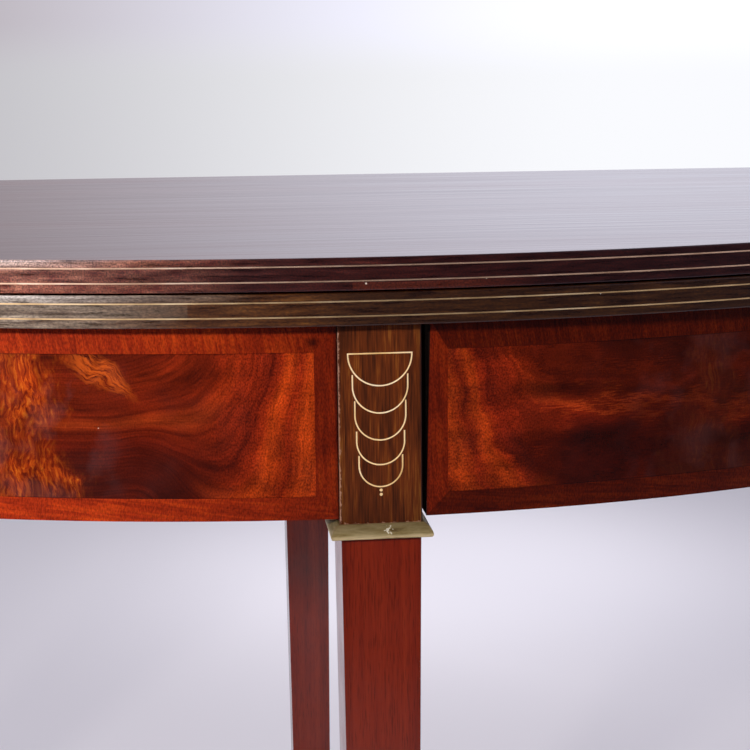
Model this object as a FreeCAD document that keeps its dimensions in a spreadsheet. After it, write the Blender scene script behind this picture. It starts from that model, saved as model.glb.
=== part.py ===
"""Half-round fold-over table in mahogany, with brass stringing and a swing leg.

The frame stands on three fixed tapered legs, one at the middle of the curved front and one at
each back corner.  A fourth leg hangs on a fly rail behind the frame and swings out on a wooden
knuckle joint, to carry the upper leaf when it is folded over on its two hinges.

Lengths are millimetres.  The floor is the plane z = 0, the front faces -Y, and the origin lies
under the middle of the closed table.
"""
import FreeCAD, Part
import Sketcher
import math
import os

doc = FreeCAD.newDocument("demilune_table")
sheet = doc.addObject("Spreadsheet::Sheet", "sizes")

SIZES = (
    ("table_height", 755.0, "floor to the upper face of the closed top"),
    ("top_radius", 600.0, "radius of the half-round leaves"),
    ("leaf_thickness", 13.9, "thickness of each leaf"),
    ("leaf_gap", 0.8, "gap between the folded leaves"),
    ("leaf_round", 0.7, "rounding of the leaves' curved arrises"),
    ("string_width", 0.6, "width of the brass strings and of the inlay's wire"),
    ("string_depth", 1.2, "depth to which brass is let into wood"),
    ("string_margin", 3.55, "leaf face to the middle of the nearer string"),
    ("string_spacing", 6.25, "distance between the two strings of a leaf"),
    ("apron_overhang", 11.8, "leaf edge to the veneered face of the apron"),
    ("apron_height", 85.4, "height of the frame"),
    ("apron_thickness", 18.0, "thickness of the curved rails"),
    ("veneer_thickness", 0.9, "thickness of the saw-cut veneer"),
    ("glue_line", 0.45, "glue between curved faces"),
    ("band_width", 9.6, "width of the cross-banding at the panels' ends"),
    ("top_band_width", 12.5, "width of the cross-banding along the top"),
    ("bottom_band_width", 10.1, "width of the cross-banding along the foot"),
    ("left_panel_gap", 0.3, "head of the front leg to the left panel"),
    ("right_panel_gap", 2.2, "head of the front leg to the foot of the shrunk right panel"),
    ("right_panel_taper", 2.2, "widening of the right panel's gap up to its top"),
    ("corner_panel_gap", 0.3, "heads of the corner legs to the panels"),
    ("head_width", 35.5, "width of the square head of a fixed leg, with its facing"),
    ("facing_thickness", 2.5, "thickness of the rosewood facing"),
    ("facing_proud", 2.9, "facing beyond the veneered face of the apron"),
    ("facing_arris", 0.6, "bevel worn on the facings' upright arrises"),
    ("leg_width", 34.6, "width of a leg under its collar"),
    ("foot_width", 24.4, "width of a leg on the floor"),
    ("head_drop", 1.6, "heads of the legs below the apron"),
    ("collar_height", 6.2, "height of the brass collar"),
    ("collar_proud", 4.8, "collar beyond the faces of the leg"),
    ("collar_lip", 1.3, "collar beyond the leg at its upper edge"),
    ("tenon_thickness", 8.0, "thickness of the rails' tenons"),
    ("tenon_length", 12.0, "length of the rails' tenons"),
    ("tenon_shoulder", 12.0, "apron edge to the tenon"),
    ("joint_fit", 0.1, "play round a tenon in its mortise"),
    ("dot_radius", 0.65, "radius of the brass dots under the swags"),
    ("back_overhang", 12.0, "back edge of the leaves to the back of the legs"),
    ("back_rail_thickness", 18.0, "thickness of the fixed back rail"),
    ("back_rail_fit", 0.3, "corner leg heads to the back rail"),
    ("fly_rail_thickness", 20.0, "thickness of the fly rail"),
    ("gate_reach", 290.0, "knuckle pin to the middle of the swing leg"),
    ("gate_offset", 6.0, "middle of the closed swing leg from the centre line"),
    ("gate_clearance", 0.4, "gate to the underside of the leaves"),
    ("knuckle_play", 0.5, "round a turning knuckle in its hollow"),
    ("finger_play", 0.5, "between the fingers of the knuckle joint"),
    ("knuckle_pin_radius", 3.0, "radius of the knuckle pin"),
    ("pin_play", 0.05, "radial play of a pin in a turning knuckle"),
    ("gate_tenon_length", 20.0, "tenon of the fly rail in the swing leg"),
    ("brace_width", 40.0, "width of the brace across the frame"),
    ("brace_height", 22.0, "height of the brace across the frame"),
    ("block_length", 50.0, "length of a glue block"),
    ("block_depth", 20.0, "depth of a glue block"),
    ("block_height", 20.0, "height of a glue block"),
    ("top_screw_radius", 2.0, "radius of a top screw's shank"),
    ("top_screw_head_radius", 4.0, "radius of a top screw's head"),
    ("top_screw_head_height", 2.4, "height of a top screw's head"),
    ("top_screw_bite", 9.0, "depth of a top screw in the lower leaf"),
    ("hinge_spread", 760.0, "distance between the middles of the two hinges"),
    ("hinge_length", 50.0, "length of a hinge"),
    ("hinge_plate_height", 11.5, "hinge axis to the far edge of a plate"),
    ("hinge_plate_thickness", 1.6, "thickness of a hinge plate"),
    ("hinge_knuckle_radius", 3.0, "radius of the hinge knuckles"),
    ("hinge_knuckle_length", 16.0, "length of the middle knuckle"),
    ("hinge_knuckle_play", 0.3, "play round and between the hinge knuckles"),
    ("hinge_pin_radius", 1.4, "radius of a hinge pin"),
    ("hinge_offset", 0.3, "back edges of the leaves to the hinge axis"),
    ("hinge_screw_radius", 1.3, "radius of a hinge screw's shank"),
    ("hinge_screw_head_radius", 2.4, "radius of a hinge screw's head"),
    ("hinge_screw_head_height", 1.1, "height of a hinge screw's head"),
    ("hinge_screw_length", 14.0, "length of a hinge screw"),
    ("overrun", 5.0, "how far a cutting shape runs past what it cuts"),
)
for row, (alias, value, note) in enumerate(SIZES, start=1):
    sheet.set(f"A{row}", note)
    sheet.set(f"B{row}", str(value))
    sheet.setAlias(f"B{row}", alias)
doc.recompute()

# Places that several pieces share, as expressions on the sheet's cells.
BACK = "((sizes.top_radius - sizes.hinge_offset - sizes.hinge_knuckle_radius) / 2)"
LEAF_MIDDLE = "(sizes.table_height - sizes.leaf_thickness - sizes.leaf_gap / 2)"
LOWER_LEAF_TOP = f"({LEAF_MIDDLE} - sizes.leaf_gap / 2)"
FRAME_TOP = f"({LOWER_LEAF_TOP} - sizes.leaf_thickness)"
FRAME_FOOT = f"({FRAME_TOP} - sizes.apron_height)"
HEAD_FOOT = f"({FRAME_FOOT} - sizes.head_drop)"
COLLAR_FOOT = f"({HEAD_FOOT} - sizes.collar_height)"
APRON_RADIUS = "(sizes.top_radius - sizes.apron_overhang)"
VENEER_INSIDE = f"({APRON_RADIUS} - sizes.veneer_thickness)"
RAIL_OUTSIDE = f"({VENEER_INSIDE} - sizes.glue_line)"
RAIL_INSIDE = f"({RAIL_OUTSIDE} - sizes.apron_thickness)"
RAIL_SEAT = f"({RAIL_INSIDE} - sizes.glue_line)"
LEG_AXIS = f"({APRON_RADIUS} + sizes.facing_proud - sizes.head_width / 2)"
HALF_HEAD = "(sizes.head_width / 2)"
LEG_BACK = f"({BACK} - sizes.back_overhang)"
CORNER_LEG = f"({LEG_BACK} - {HALF_HEAD})"
CORNER_FRONT = f"({LEG_BACK} - sizes.head_width)"
BACK_RAIL_BACK = f"({CORNER_FRONT} - sizes.back_rail_fit)"
BACK_RAIL_FRONT = f"({BACK_RAIL_BACK} - sizes.back_rail_thickness)"
GATE_TOP = f"({FRAME_TOP} - sizes.gate_clearance)"
SWING_LEG = f"({LEG_BACK} - sizes.leg_width / 2)"
FLY_RAIL_FRONT = f"({LEG_BACK} - sizes.leg_width)"
FLY_RAIL_BACK = f"({FLY_RAIL_FRONT} + sizes.fly_rail_thickness)"
FLY_RAIL_MIDDLE = f"({FLY_RAIL_FRONT} + sizes.fly_rail_thickness / 2)"
SWING_LEG_SIDE = "(sizes.gate_offset + sizes.leg_width / 2)"
KNUCKLE = "(sizes.gate_offset + sizes.gate_reach)"
HINGE_AXIS = f"({BACK} + sizes.hinge_offset)"

SIDES = (("left", -1), ("right", 1))
QUARTER_TURN = 90
FULL_TURN = 360
UP = FreeCAD.Vector(0, 0, 1)
ALONG = FreeCAD.Vector(1, 0, 0)

# The swags of the brass inlay, each a U of wire: its width as a share of the head, its two ends
# and its lowest point as shares of the apron's height below the frame's top.
SWAG_WIDTH_SHARES = (0.680, 0.629, 0.594, 0.543)
SWAG_END_SHARES = (0.259, 0.391, 0.545, 0.669)
SWAG_FOOT_SHARES = (0.458, 0.595, 0.721, 0.834)
CRESCENT_WIDTH_SHARE = 0.783
CRESCENT_TOP_SHARE = 0.150
CRESCENT_FOOT_SHARE = 0.320
DOT_SHARES = (0.848, 0.870)

# Swelled section of the collar, from its upper edge down: how far it stands out, as a share of
# what lies between its upper edge and its fullest part, and the share of its height above.
COLLAR_SWELL_SHARES = (0.0, 0.38, 0.68, 0.88, 1.0, 1.0, 0.9, 0.66)
COLLAR_DROP_SHARES = (0.0, 0.18, 0.36, 0.53, 0.69, 0.82, 0.94, 1.0)

# Glue blocks along each curved rail, as shares of the quarter turn from the front.
BLOCK_SHARES = (0.22, 0.47, 0.72)
FINGERS = 5
HINGE_SCREW_SHARES = (-0.38, 0.0, 0.38)
HINGE_SCREW_DROP_SHARE = 0.66

nodes = []


def measure(expression):
    """Value of an expression on the sheet's cells."""
    return float(sheet.evalExpression(expression))


def bind(piece, **expressions):
    """Drive properties of a piece; a double underscore stands for a dot."""
    for name, expression in expressions.items():
        piece.setExpression(name.replace("__", "."), expression)
    return piece


def node(piece, label):
    """Name a piece as one of the table's own sub-parts."""
    piece.Label = label
    nodes.append(piece)
    return piece


def slab(name, x_range, y_range, z_range):
    """Rectangular block between two places along each axis."""
    block = doc.addObject("Part::Box", name)
    ranges = (x_range, y_range, z_range)
    for side, axis, (low, high) in zip(("Length", "Width", "Height"), "xyz", ranges):
        block.setExpression(side, f"{high} - ({low})")
        block.setExpression(f"Placement.Base.{axis}", low)
    return block


def rod(name, radius, start, length, axis=None, angle=FULL_TURN):
    """Cylinder from a start point, along Z or turned a quarter about the given axis."""
    bar = doc.addObject("Part::Cylinder", name)
    bar.Angle = angle
    if axis is not None:
        bar.Placement = FreeCAD.Placement(FreeCAD.Vector(), FreeCAD.Rotation(axis, QUARTER_TURN))
    bind(bar, Radius=radius, Height=length)
    for letter, place in zip("xyz", start):
        bar.setExpression(f"Placement.Base.{letter}", place)
    return bar


def fuse(name, pieces):
    joined = doc.addObject("Part::MultiFuse", name)
    joined.Shapes = pieces
    return joined


def group(name, pieces):
    """Several alike solids kept in one node."""
    gathered = doc.addObject("Part::Compound", name)
    gathered.Links = pieces
    return gathered


def cut(name, base, tools):
    cleared = doc.addObject("Part::Cut", name)
    cleared.Base = base
    cleared.Tool = tools[0] if len(tools) == 1 else fuse(f"{name}_tools", tools)
    return cleared


def common(name, base, tool):
    shared = doc.addObject("Part::Common", name)
    shared.Base = base
    shared.Tool = tool
    return shared


def across(side, low, high):
    """Range along X on the given side of the centre line."""
    return (low, high) if side > 0 else (f"-({high})", f"-({low})")


def sketch_on(body, plane, name, offset=None):
    """Sketch on one of the body's own origin planes, raised by an offset."""
    sketch = body.newObject("Sketcher::SketchObject", name)
    support = next(f for f in body.Origin.OriginFeatures if f.Role == plane)
    sketch.AttachmentSupport = (support, [""])
    sketch.MapMode = "FlatFace"
    if offset is not None:
        sketch.setExpression("AttachmentOffset.Base.z", offset)
    return sketch


def hold(sketch, kind, line, point, expression):
    """Fix one coordinate of a sketched point by an expression."""
    index = sketch.addConstraint(Sketcher.Constraint(kind, line, point, measure(expression)))
    sketch.setExpression(f"Constraints[{index}]", expression)


def outline(body, plane, name, corners, offset=None):
    """Closed straight-sided sketch whose corners are driven by expressions."""
    sketch = sketch_on(body, plane, name, offset)
    points = [FreeCAD.Vector(measure(x), measure(y), 0) for x, y in corners]
    for index, point in enumerate(points):
        sketch.addGeometry(Part.LineSegment(point, points[(index + 1) % len(points)]))
    for index in range(len(points)):
        following = (index + 1) % len(points)
        sketch.addConstraint(Sketcher.Constraint("Coincident", index, 2, following, 1))
    for index, (x, y) in enumerate(corners):
        hold(sketch, "DistanceX", index, 1, x)
        hold(sketch, "DistanceY", index, 1, y)
    return sketch


def rectangle(half_width, front, back):
    """Corners of a rectangle that is even about the centre line."""
    return (
        (f"-({half_width})", front),
        (half_width, front),
        (half_width, back),
        (f"-({half_width})", back),
    )


def square(width):
    half = f"({width}) / 2"
    return rectangle(half, f"-({half})", half)


def pad(body, name, sketch, length, even=False):
    raised = body.newObject("PartDesign::Pad", name)
    raised.Profile = sketch
    raised.Midplane = even
    raised.setExpression("Length", length)
    return raised


# Leaves: half-round boards whose curved edge carries two brass strings.

def string_heights():
    """Heights of the two strings above the underside of a leaf."""
    lower = "(sizes.leaf_thickness - sizes.string_margin - sizes.string_spacing)"
    return lower, f"({lower} + sizes.string_spacing)"


def leaf_board(name, underside):
    """Half-round board with rounded arrises and grooves for its strings."""
    body = doc.addObject("PartDesign::Body", f"{name}_board")
    bind(body, Placement__Base__y=BACK, Placement__Base__z=underside)
    plan = sketch_on(body, "XY_Plane", f"{name}_plan")
    radius = measure("sizes.top_radius")
    circle = Part.Circle(FreeCAD.Vector(), UP, radius)
    left = FreeCAD.Vector(-radius, 0, 0)
    right = FreeCAD.Vector(radius, 0, 0)
    plan.addGeometry(Part.ArcOfCircle(circle, math.pi, 2 * math.pi))
    plan.addGeometry(Part.LineSegment(right, left))
    plan.addConstraint(Sketcher.Constraint("Coincident", 0, 3, -1, 1))
    plan.addConstraint(Sketcher.Constraint("Coincident", 0, 2, 1, 1))
    plan.addConstraint(Sketcher.Constraint("Coincident", 1, 2, 0, 1))
    plan.addConstraint(Sketcher.Constraint("PointOnObject", 0, 1, -1))
    plan.addConstraint(Sketcher.Constraint("PointOnObject", 0, 2, -1))
    index = plan.addConstraint(Sketcher.Constraint("Radius", 0, radius))
    plan.setExpression(f"Constraints[{index}]", "sizes.top_radius")
    board = pad(body, f"{name}_pad", plan, "sizes.leaf_thickness")
    doc.recompute()
    curved = [f"Edge{number}" for number, edge in enumerate(board.Shape.Edges, start=1)
              if edge.Curve.TypeId == "Part::GeomCircle"]
    arris = body.newObject("PartDesign::Fillet", f"{name}_arris")
    arris.Base = (board, curved)
    arris.setExpression("Radius", "sizes.leaf_round")
    for order, height in enumerate(string_heights()):
        groove = body.newObject("PartDesign::Groove", f"{name}_groove_{order}")
        bottom = "(sizes.top_radius - sizes.string_depth - sizes.glue_line)"
        mouth = "(sizes.top_radius + sizes.overrun)"
        low = f"({height} - sizes.string_width / 2)"
        high = f"({height} + sizes.string_width / 2)"
        corners = ((bottom, low), (mouth, low), (mouth, high), (bottom, high))
        groove.Profile = outline(body, "XZ_Plane", f"{name}_groove_{order}_section", corners)
        groove.ReferenceAxis = (groove.Profile[0], ["V_Axis"])
        groove.Angle = FULL_TURN
    return body


def front_half(name, solid, foot, height):
    """The part of a ring that lies in front of the leaves' back edge."""
    reach = "(sizes.top_radius + sizes.overrun)"
    keep = slab(f"{name}_front", (f"-{reach}", reach), (f"{BACK} - {reach}", BACK),
                (foot, f"{foot} + {height}"))
    return common(name, solid, keep)


def ring(name, inside, outside, foot, height):
    """Full ring about the middle of the leaves' back edge."""
    centre = ("0", BACK, foot)
    outer = rod(f"{name}_outer", outside, centre, height)
    inner = rod(f"{name}_inner", inside, centre, height)
    return cut(f"{name}_ring", outer, [inner])


def leaf_strings(leaf, underside):
    for place, height in zip(("low", "high"), string_heights()):
        label = f"{leaf}_string_{place}"
        foot = f"({underside} + {height} - sizes.string_width / 2)"
        band = ring(label, "(sizes.top_radius - sizes.string_depth)", "sizes.top_radius",
                    foot, "sizes.string_width")
        node(front_half(label, band, foot, "sizes.string_width"), label)


# Hinges: brass butts let into the back edges, with the axis level with the gap between leaves.

HINGE_HALF = "(sizes.hinge_length / 2)"
KNUCKLE_HALF = "(sizes.hinge_knuckle_length / 2)"
KNUCKLE_GAP = "sizes.hinge_knuckle_play"
PLATE_OUTSIDE = BACK
PLATE_INSIDE = f"({BACK} - sizes.hinge_plate_thickness)"


def hinge_middle(side):
    return f"({side} * sizes.hinge_spread / 2)"


def hinge_rod(name, middle, radius, low, high):
    """Cylinder on the hinge axis between two places from the hinge's middle."""
    return rod(name, radius, (f"{middle} + {low}", HINGE_AXIS, LEAF_MIDDLE), f"{high} - ({low})",
               FreeCAD.Vector(0, 1, 0))


def plate_range(upward):
    """Heights between which a plate lies, above or below the hinge axis."""
    if upward > 0:
        return LEAF_MIDDLE, f"{LEAF_MIDDLE} + sizes.hinge_plate_height"
    return f"{LEAF_MIDDLE} - sizes.hinge_plate_height", LEAF_MIDDLE


def hinge_screw_places(side, upward):
    for share in HINGE_SCREW_SHARES:
        x = f"({hinge_middle(side)} + {share} * sizes.hinge_length)"
        z = f"({LEAF_MIDDLE} + {upward * HINGE_SCREW_DROP_SHARE} * sizes.hinge_plate_height)"
        yield x, z


def hinge_screw(name, x, z):
    """Screw driven forward into the back edge, its head let into the plate."""
    tip = f"({BACK} - sizes.hinge_screw_length)"
    shank = rod(f"{name}_shank", "sizes.hinge_screw_radius", (x, BACK, z),
                f"{BACK} - {tip}", ALONG)
    head = rod(f"{name}_head", "sizes.hinge_screw_head_radius", (x, BACK, z),
               "sizes.hinge_screw_head_height", ALONG)
    return fuse(name, [shank, head])


def hinge_seat(name, side, upward):
    """What is cut from a leaf for one hinge: the plate's recess and the knuckles' hollow."""
    middle = hinge_middle(side)
    reach = f"({HINGE_HALF} + {KNUCKLE_GAP})"
    recess = slab(f"{name}_recess", (f"{middle} - {HINGE_HALF}", f"{middle} + {HINGE_HALF}"),
                  (PLATE_INSIDE, f"{BACK} + sizes.overrun"), plate_range(upward))
    hollow = hinge_rod(f"{name}_hollow", middle, f"(sizes.hinge_knuckle_radius + {KNUCKLE_GAP})",
                       f"-{reach}", reach)
    return [recess, hollow]


def hinge_plate(label, side, upward, screws):
    """Plate with its own knuckles, hollowed where the other plate's knuckles turn."""
    middle = hinge_middle(side)
    plate = slab(f"{label}_plate", (f"{middle} - {HINGE_HALF}", f"{middle} + {HINGE_HALF}"),
                 (PLATE_INSIDE, PLATE_OUTSIDE), plate_range(upward))
    outer = ((f"-{HINGE_HALF}", f"-({KNUCKLE_HALF} + {KNUCKLE_GAP})"),
             (f"({KNUCKLE_HALF} + {KNUCKLE_GAP})", HINGE_HALF))
    inner = ((f"-{KNUCKLE_HALF}", KNUCKLE_HALF),)
    own = inner if upward > 0 else outer
    other = outer if upward > 0 else inner
    play = "sizes.pin_play" if upward > 0 else "0"
    hollows = [hinge_rod(f"{label}_hollow_{i}", middle,
                         f"(sizes.hinge_knuckle_radius + {KNUCKLE_GAP})",
                         f"({low} - {KNUCKLE_GAP})", f"({high} + {KNUCKLE_GAP})")
               for i, (low, high) in enumerate(other)]
    knuckles = [hinge_rod(f"{label}_knuckle_{i}", middle, "sizes.hinge_knuckle_radius", low, high)
                for i, (low, high) in enumerate(own)]
    cleared = cut(f"{label}_cleared", plate, hollows)
    pin_hole = hinge_rod(f"{label}_pin_hole", middle, f"(sizes.hinge_pin_radius + {play})",
                         f"-{HINGE_HALF}", HINGE_HALF)
    return node(cut(label, fuse(f"{label}_leaf", [cleared, *knuckles]), [pin_hole, *screws]), label)


def leaf(label, underside, upward, extra_holes):
    """A leaf with its strings, its hinge plates and their screws."""
    board = leaf_board(label, underside)
    seats = []
    screws = []
    for name, side in SIDES:
        own = [hinge_screw(f"{label}_hinge_screw_{name}_{i}", x, z)
               for i, (x, z) in enumerate(hinge_screw_places(side, upward))]
        seats += hinge_seat(f"{label}_hinge_{name}", side, upward)
        hinge_plate(f"{label}_hinge_{name}", side, upward, own)
        screws += own
    node(cut(label, board, seats + screws + extra_holes), label)
    node(group(f"{label}_hinge_screws", screws), f"{label}_hinge_screws")
    leaf_strings(label, underside)


# Frame: curved rails tenoned into the heads of the legs, closed by a straight back rail.

TENON_LOW = f"({FRAME_FOOT} + sizes.tenon_shoulder)"
TENON_HIGH = f"({FRAME_TOP} - sizes.tenon_shoulder)"
TENON_RADIUS = f"(({RAIL_OUTSIDE} + {RAIL_INSIDE}) / 2)"
HALF_TENON = "(sizes.tenon_thickness / 2)"


def front_tenon(name, side, play):
    """Tenon of a curved rail in the front leg, or its mortise with the play added."""
    tip = f"{HALF_HEAD} - sizes.tenon_length - {play}"
    x_range = across(side, tip, f"{HALF_HEAD} + sizes.overrun")
    y = f"({BACK} - {TENON_RADIUS})"
    return slab(name, x_range, (f"{y} - {HALF_TENON} - {play}", f"{y} + {HALF_TENON} + {play}"),
                (f"{TENON_LOW} - {play}", f"{TENON_HIGH} + {play}"))


def corner_tenon(name, side, play):
    """Tenon of a curved rail in a corner leg, or its mortise with the play added."""
    cheek = f"({HALF_TENON} + {play})"
    tip = f"{CORNER_FRONT} + sizes.tenon_length + {play}"
    return slab(name, across(side, f"{TENON_RADIUS} - {cheek}", f"{TENON_RADIUS} + {cheek}"),
                (f"{CORNER_FRONT} - sizes.overrun", tip),
                (f"{TENON_LOW} - {play}", f"{TENON_HIGH} + {play}"))


def panel_start(side):
    gap = "sizes.left_panel_gap" if side < 0 else "sizes.right_panel_gap"
    return f"({HALF_HEAD} + {gap})"


def panel_span(name, side, foot, top):
    """Block that keeps the stretch of a ring between the front leg and a corner leg."""
    y_range = (f"{BACK} - sizes.top_radius", f"{CORNER_FRONT} - sizes.corner_panel_gap")
    return slab(name, across(side, panel_start(side), "sizes.top_radius"), y_range, (foot, top))


def curved_rail(side_name, side):
    label = f"apron_rail_{side_name}"
    band = ring(label, RAIL_INSIDE, RAIL_OUTSIDE, FRAME_FOOT, "sizes.apron_height")
    span = common(f"{label}_span", band, panel_span(f"{label}_keep", side, FRAME_FOOT, FRAME_TOP))
    tenons = [front_tenon(f"{label}_front_tenon", side, "0"),
              corner_tenon(f"{label}_corner_tenon", side, "0")]
    node(fuse(label, [span, *tenons]), label)


def mitred_end(name, corners, plane):
    """Trapezium at one end of a panel, run through the veneer."""
    body = doc.addObject("PartDesign::Body", name)
    section = outline(body, plane, f"{name}_section", corners)
    pad(body, f"{name}_pad", section, "2 * sizes.top_radius + 2 * sizes.overrun", even=True)
    return body


def panel_veneer(side_name, side):
    """Flame field and the cross-banding that frames it, mitred at the corners."""
    name = f"veneer_{side_name}"
    inner_low = f"({FRAME_FOOT} + sizes.bottom_band_width)"
    inner_high = f"({FRAME_TOP} - sizes.top_band_width)"
    start = panel_start(side)
    front_out = f"({side} * {start})"
    front_top = front_out if side < 0 else f"({start} + sizes.right_panel_taper)"
    front_in = f"({side} * ({start} + sizes.band_width))"
    corner_out = f"({CORNER_FRONT} - sizes.corner_panel_gap)"
    corner_in = f"({corner_out} - sizes.band_width)"
    outward = across(side, "0", "sizes.top_radius")
    forward = f"({BACK} - sizes.top_radius)"
    whole = common(f"{name}_span", ring(name, VENEER_INSIDE, APRON_RADIUS, FRAME_FOOT, "sizes.apron_height"),
                   panel_span(f"{name}_keep", side, FRAME_FOOT, FRAME_TOP))
    if side > 0:
        short = f"({start} - sizes.overrun)"
        wedge = ((short, FRAME_FOOT), (front_out, FRAME_FOOT), (front_top, FRAME_TOP), (short, FRAME_TOP))
        whole = cut(f"{name}_shrunk", whole, [mitred_end(f"{name}_shrinkage", wedge, "XZ_Plane")])
    ends = []
    for place, plane, outer, outer_top, inner in (
            ("front", "XZ_Plane", front_out, front_top, front_in),
            ("corner", "YZ_Plane", corner_out, corner_out, corner_in)):
        corners = ((outer, FRAME_FOOT), (outer_top, FRAME_TOP), (inner, inner_high), (inner, inner_low))
        ends.append(mitred_end(f"{name}_{place}_end", corners, plane))
        node(common(f"{name}_{place}", whole, ends[-1]), f"crossband_{place}_{side_name}")
    for place, foot, top in (("top", inner_high, FRAME_TOP), ("bottom", FRAME_FOOT, inner_low)):
        keep = slab(f"{name}_{place}_keep", outward, (forward, BACK), (foot, top))
        strip = common(f"{name}_{place}_strip", whole, keep)
        node(cut(f"{name}_{place}", strip, ends), f"crossband_{place}_{side_name}")
    keep = slab(f"{name}_field_keep", across(side, f"({start} + sizes.band_width)", "sizes.top_radius"),
                (forward, corner_in), (inner_low, inner_high))
    node(common(f"{name}_field", whole, keep), f"flame_veneer_{side_name}")


# Legs: square and tapered on all four sides, with a brass collar under the head.

def leg_body(name, head_top, head_corners):
    """Tapered shaft, plain neck for the collar and head, about the leg's own axis."""
    body = doc.addObject("PartDesign::Body", f"{name}_body")
    foot = outline(body, "XY_Plane", f"{name}_foot", square("sizes.foot_width"))
    shoulder = outline(body, "XY_Plane", f"{name}_shoulder", square("sizes.leg_width"), COLLAR_FOOT)
    shaft = body.newObject("PartDesign::AdditiveLoft", f"{name}_shaft")
    shaft.Profile = foot
    shaft.Sections = [shoulder]
    shaft.Ruled = True
    neck = outline(body, "XY_Plane", f"{name}_neck", square("sizes.leg_width"), COLLAR_FOOT)
    pad(body, f"{name}_neck_pad", neck, "sizes.collar_height")
    head = outline(body, "XY_Plane", f"{name}_head", head_corners, HEAD_FOOT)
    pad(body, f"{name}_head_pad", head, f"{head_top} - {HEAD_FOOT}")
    return body


def stand(piece, x, y, turn):
    """Set a piece made about a leg's axis at its place, facing outward."""
    piece.Placement = FreeCAD.Placement(FreeCAD.Vector(), FreeCAD.Rotation(UP, turn))
    return bind(piece, Placement__Base__x=x, Placement__Base__y=y)


WIRE_BACK = f"(-{HALF_HEAD} + sizes.string_depth)"
WIRE_DEPTH = (f"-{HALF_HEAD}", WIRE_BACK)


def bowl(name, width, foot):
    """Half ring of brass wire in the outer face of a head, and the height of its two ends."""
    half = f"({width} / 2)"
    inner = f"({half} - sizes.string_width)"
    bend = f"({FRAME_TOP} - {foot} + {half})"
    outer_bend = rod(f"{name}_outer", half, ("0", WIRE_BACK, bend), "sizes.string_depth", ALONG)
    inner_bend = rod(f"{name}_inner", inner, ("0", WIRE_BACK, bend), "sizes.string_depth", ALONG)
    turned = cut(f"{name}_ring", outer_bend, [inner_bend])
    below = slab(f"{name}_below", (f"-{half}", half), WIRE_DEPTH, (f"{bend} - {half}", bend))
    return common(f"{name}_bend", turned, below), bend


def swag(name, width, ends, foot):
    """U of brass wire: a bowl with two straight ends."""
    bend, level = bowl(name, width, foot)
    pieces = [bend]
    for side_name, side in SIDES:
        wire = across(side, f"({width} / 2 - sizes.string_width)", f"({width} / 2)")
        pieces.append(slab(f"{name}_end_{side_name}", wire, WIRE_DEPTH,
                           (level, f"{FRAME_TOP} - {ends}")))
    return fuse(name, pieces)


def motif():
    """Brass inlay of a head: a closed crescent, four swags and two dots."""
    width = f"({CRESCENT_WIDTH_SHARE} * sizes.head_width)"
    drop = f"({CRESCENT_TOP_SHARE} * sizes.apron_height)"
    hoop = swag("crescent_hoop", width, drop, f"({CRESCENT_FOOT_SHARE} * sizes.apron_height)")
    bar = slab("crescent_bar", (f"-{width} / 2", f"{width} / 2"), WIRE_DEPTH,
               (f"{FRAME_TOP} - {drop} - sizes.string_width", f"{FRAME_TOP} - {drop}"))
    pieces = [fuse("crescent", [hoop, bar])]
    shares = zip(SWAG_WIDTH_SHARES, SWAG_END_SHARES, SWAG_FOOT_SHARES)
    for order, (width_share, end_share, foot_share) in enumerate(shares):
        pieces.append(swag(f"swag_{order}", f"({width_share} * sizes.head_width)",
                           f"({end_share} * sizes.apron_height)",
                           f"({foot_share} * sizes.apron_height)"))
    for order, share in enumerate(DOT_SHARES):
        z = f"({FRAME_TOP} - {share} * sizes.apron_height)"
        pieces.append(rod(f"dot_{order}", "sizes.dot_radius", ("0", WIRE_BACK, z),
                          "sizes.string_depth", ALONG))
    return pieces


def facing_board(name):
    """Thin board for the outer face of a head, its upright arrises worn to a bevel."""
    body = doc.addObject("PartDesign::Body", name)
    front = f"(-{HALF_HEAD})"
    corners = [(f"({HALF_HEAD} - sizes.facing_arris)", front),
               (HALF_HEAD, f"({front} + sizes.facing_arris)"),
               (HALF_HEAD, f"({front} + sizes.facing_thickness)")]
    mirrored = [(f"-({x})", y) for x, y in reversed(corners)]
    section = outline(body, "XY_Plane", f"{name}_section", corners + mirrored, HEAD_FOOT)
    pad(body, f"{name}_pad", section, "sizes.head_drop + sizes.apron_height")
    return body


def collar_prism(name, plane):
    """Collar's outline, swelled towards its lower edge, run straight through."""
    body = doc.addObject("PartDesign::Body", name)
    lip = "(sizes.leg_width / 2 + sizes.collar_lip)"
    full = "(sizes.leg_width / 2 + sizes.collar_proud)"
    corners = [(f"({lip} + {swell} * ({full} - {lip}))", f"({HEAD_FOOT} - {drop} * sizes.collar_height)")
               for swell, drop in zip(COLLAR_SWELL_SHARES, COLLAR_DROP_SHARES)]
    mirrored = [(f"-({x})", z) for x, z in reversed(corners)]
    section = outline(body, plane, f"{name}_section", corners + mirrored)
    pad(body, f"{name}_pad", section, f"2 * ({full} + sizes.overrun)", even=True)
    return body


def collar():
    """Square brass ring with mitred corners, the meeting of two straight mouldings."""
    half = "sizes.leg_width / 2"
    solid = common("collar_solid", collar_prism("collar_along", "XZ_Plane"),
                   collar_prism("collar_across", "YZ_Plane"))
    hole = slab("collar_hole", (f"-{half}", half), (f"-{half}", half),
                (f"{COLLAR_FOOT} - sizes.overrun", f"{HEAD_FOOT} + sizes.overrun"))
    return cut("collar_ring", solid, [hole])


FIXED_LEGS = (
    ("front", "0", f"({BACK} - {LEG_AXIS})", 0),
    ("left", f"-({LEG_AXIS})", CORNER_LEG, -QUARTER_TURN),
    ("right", LEG_AXIS, CORNER_LEG, QUARTER_TURN),
)


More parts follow.
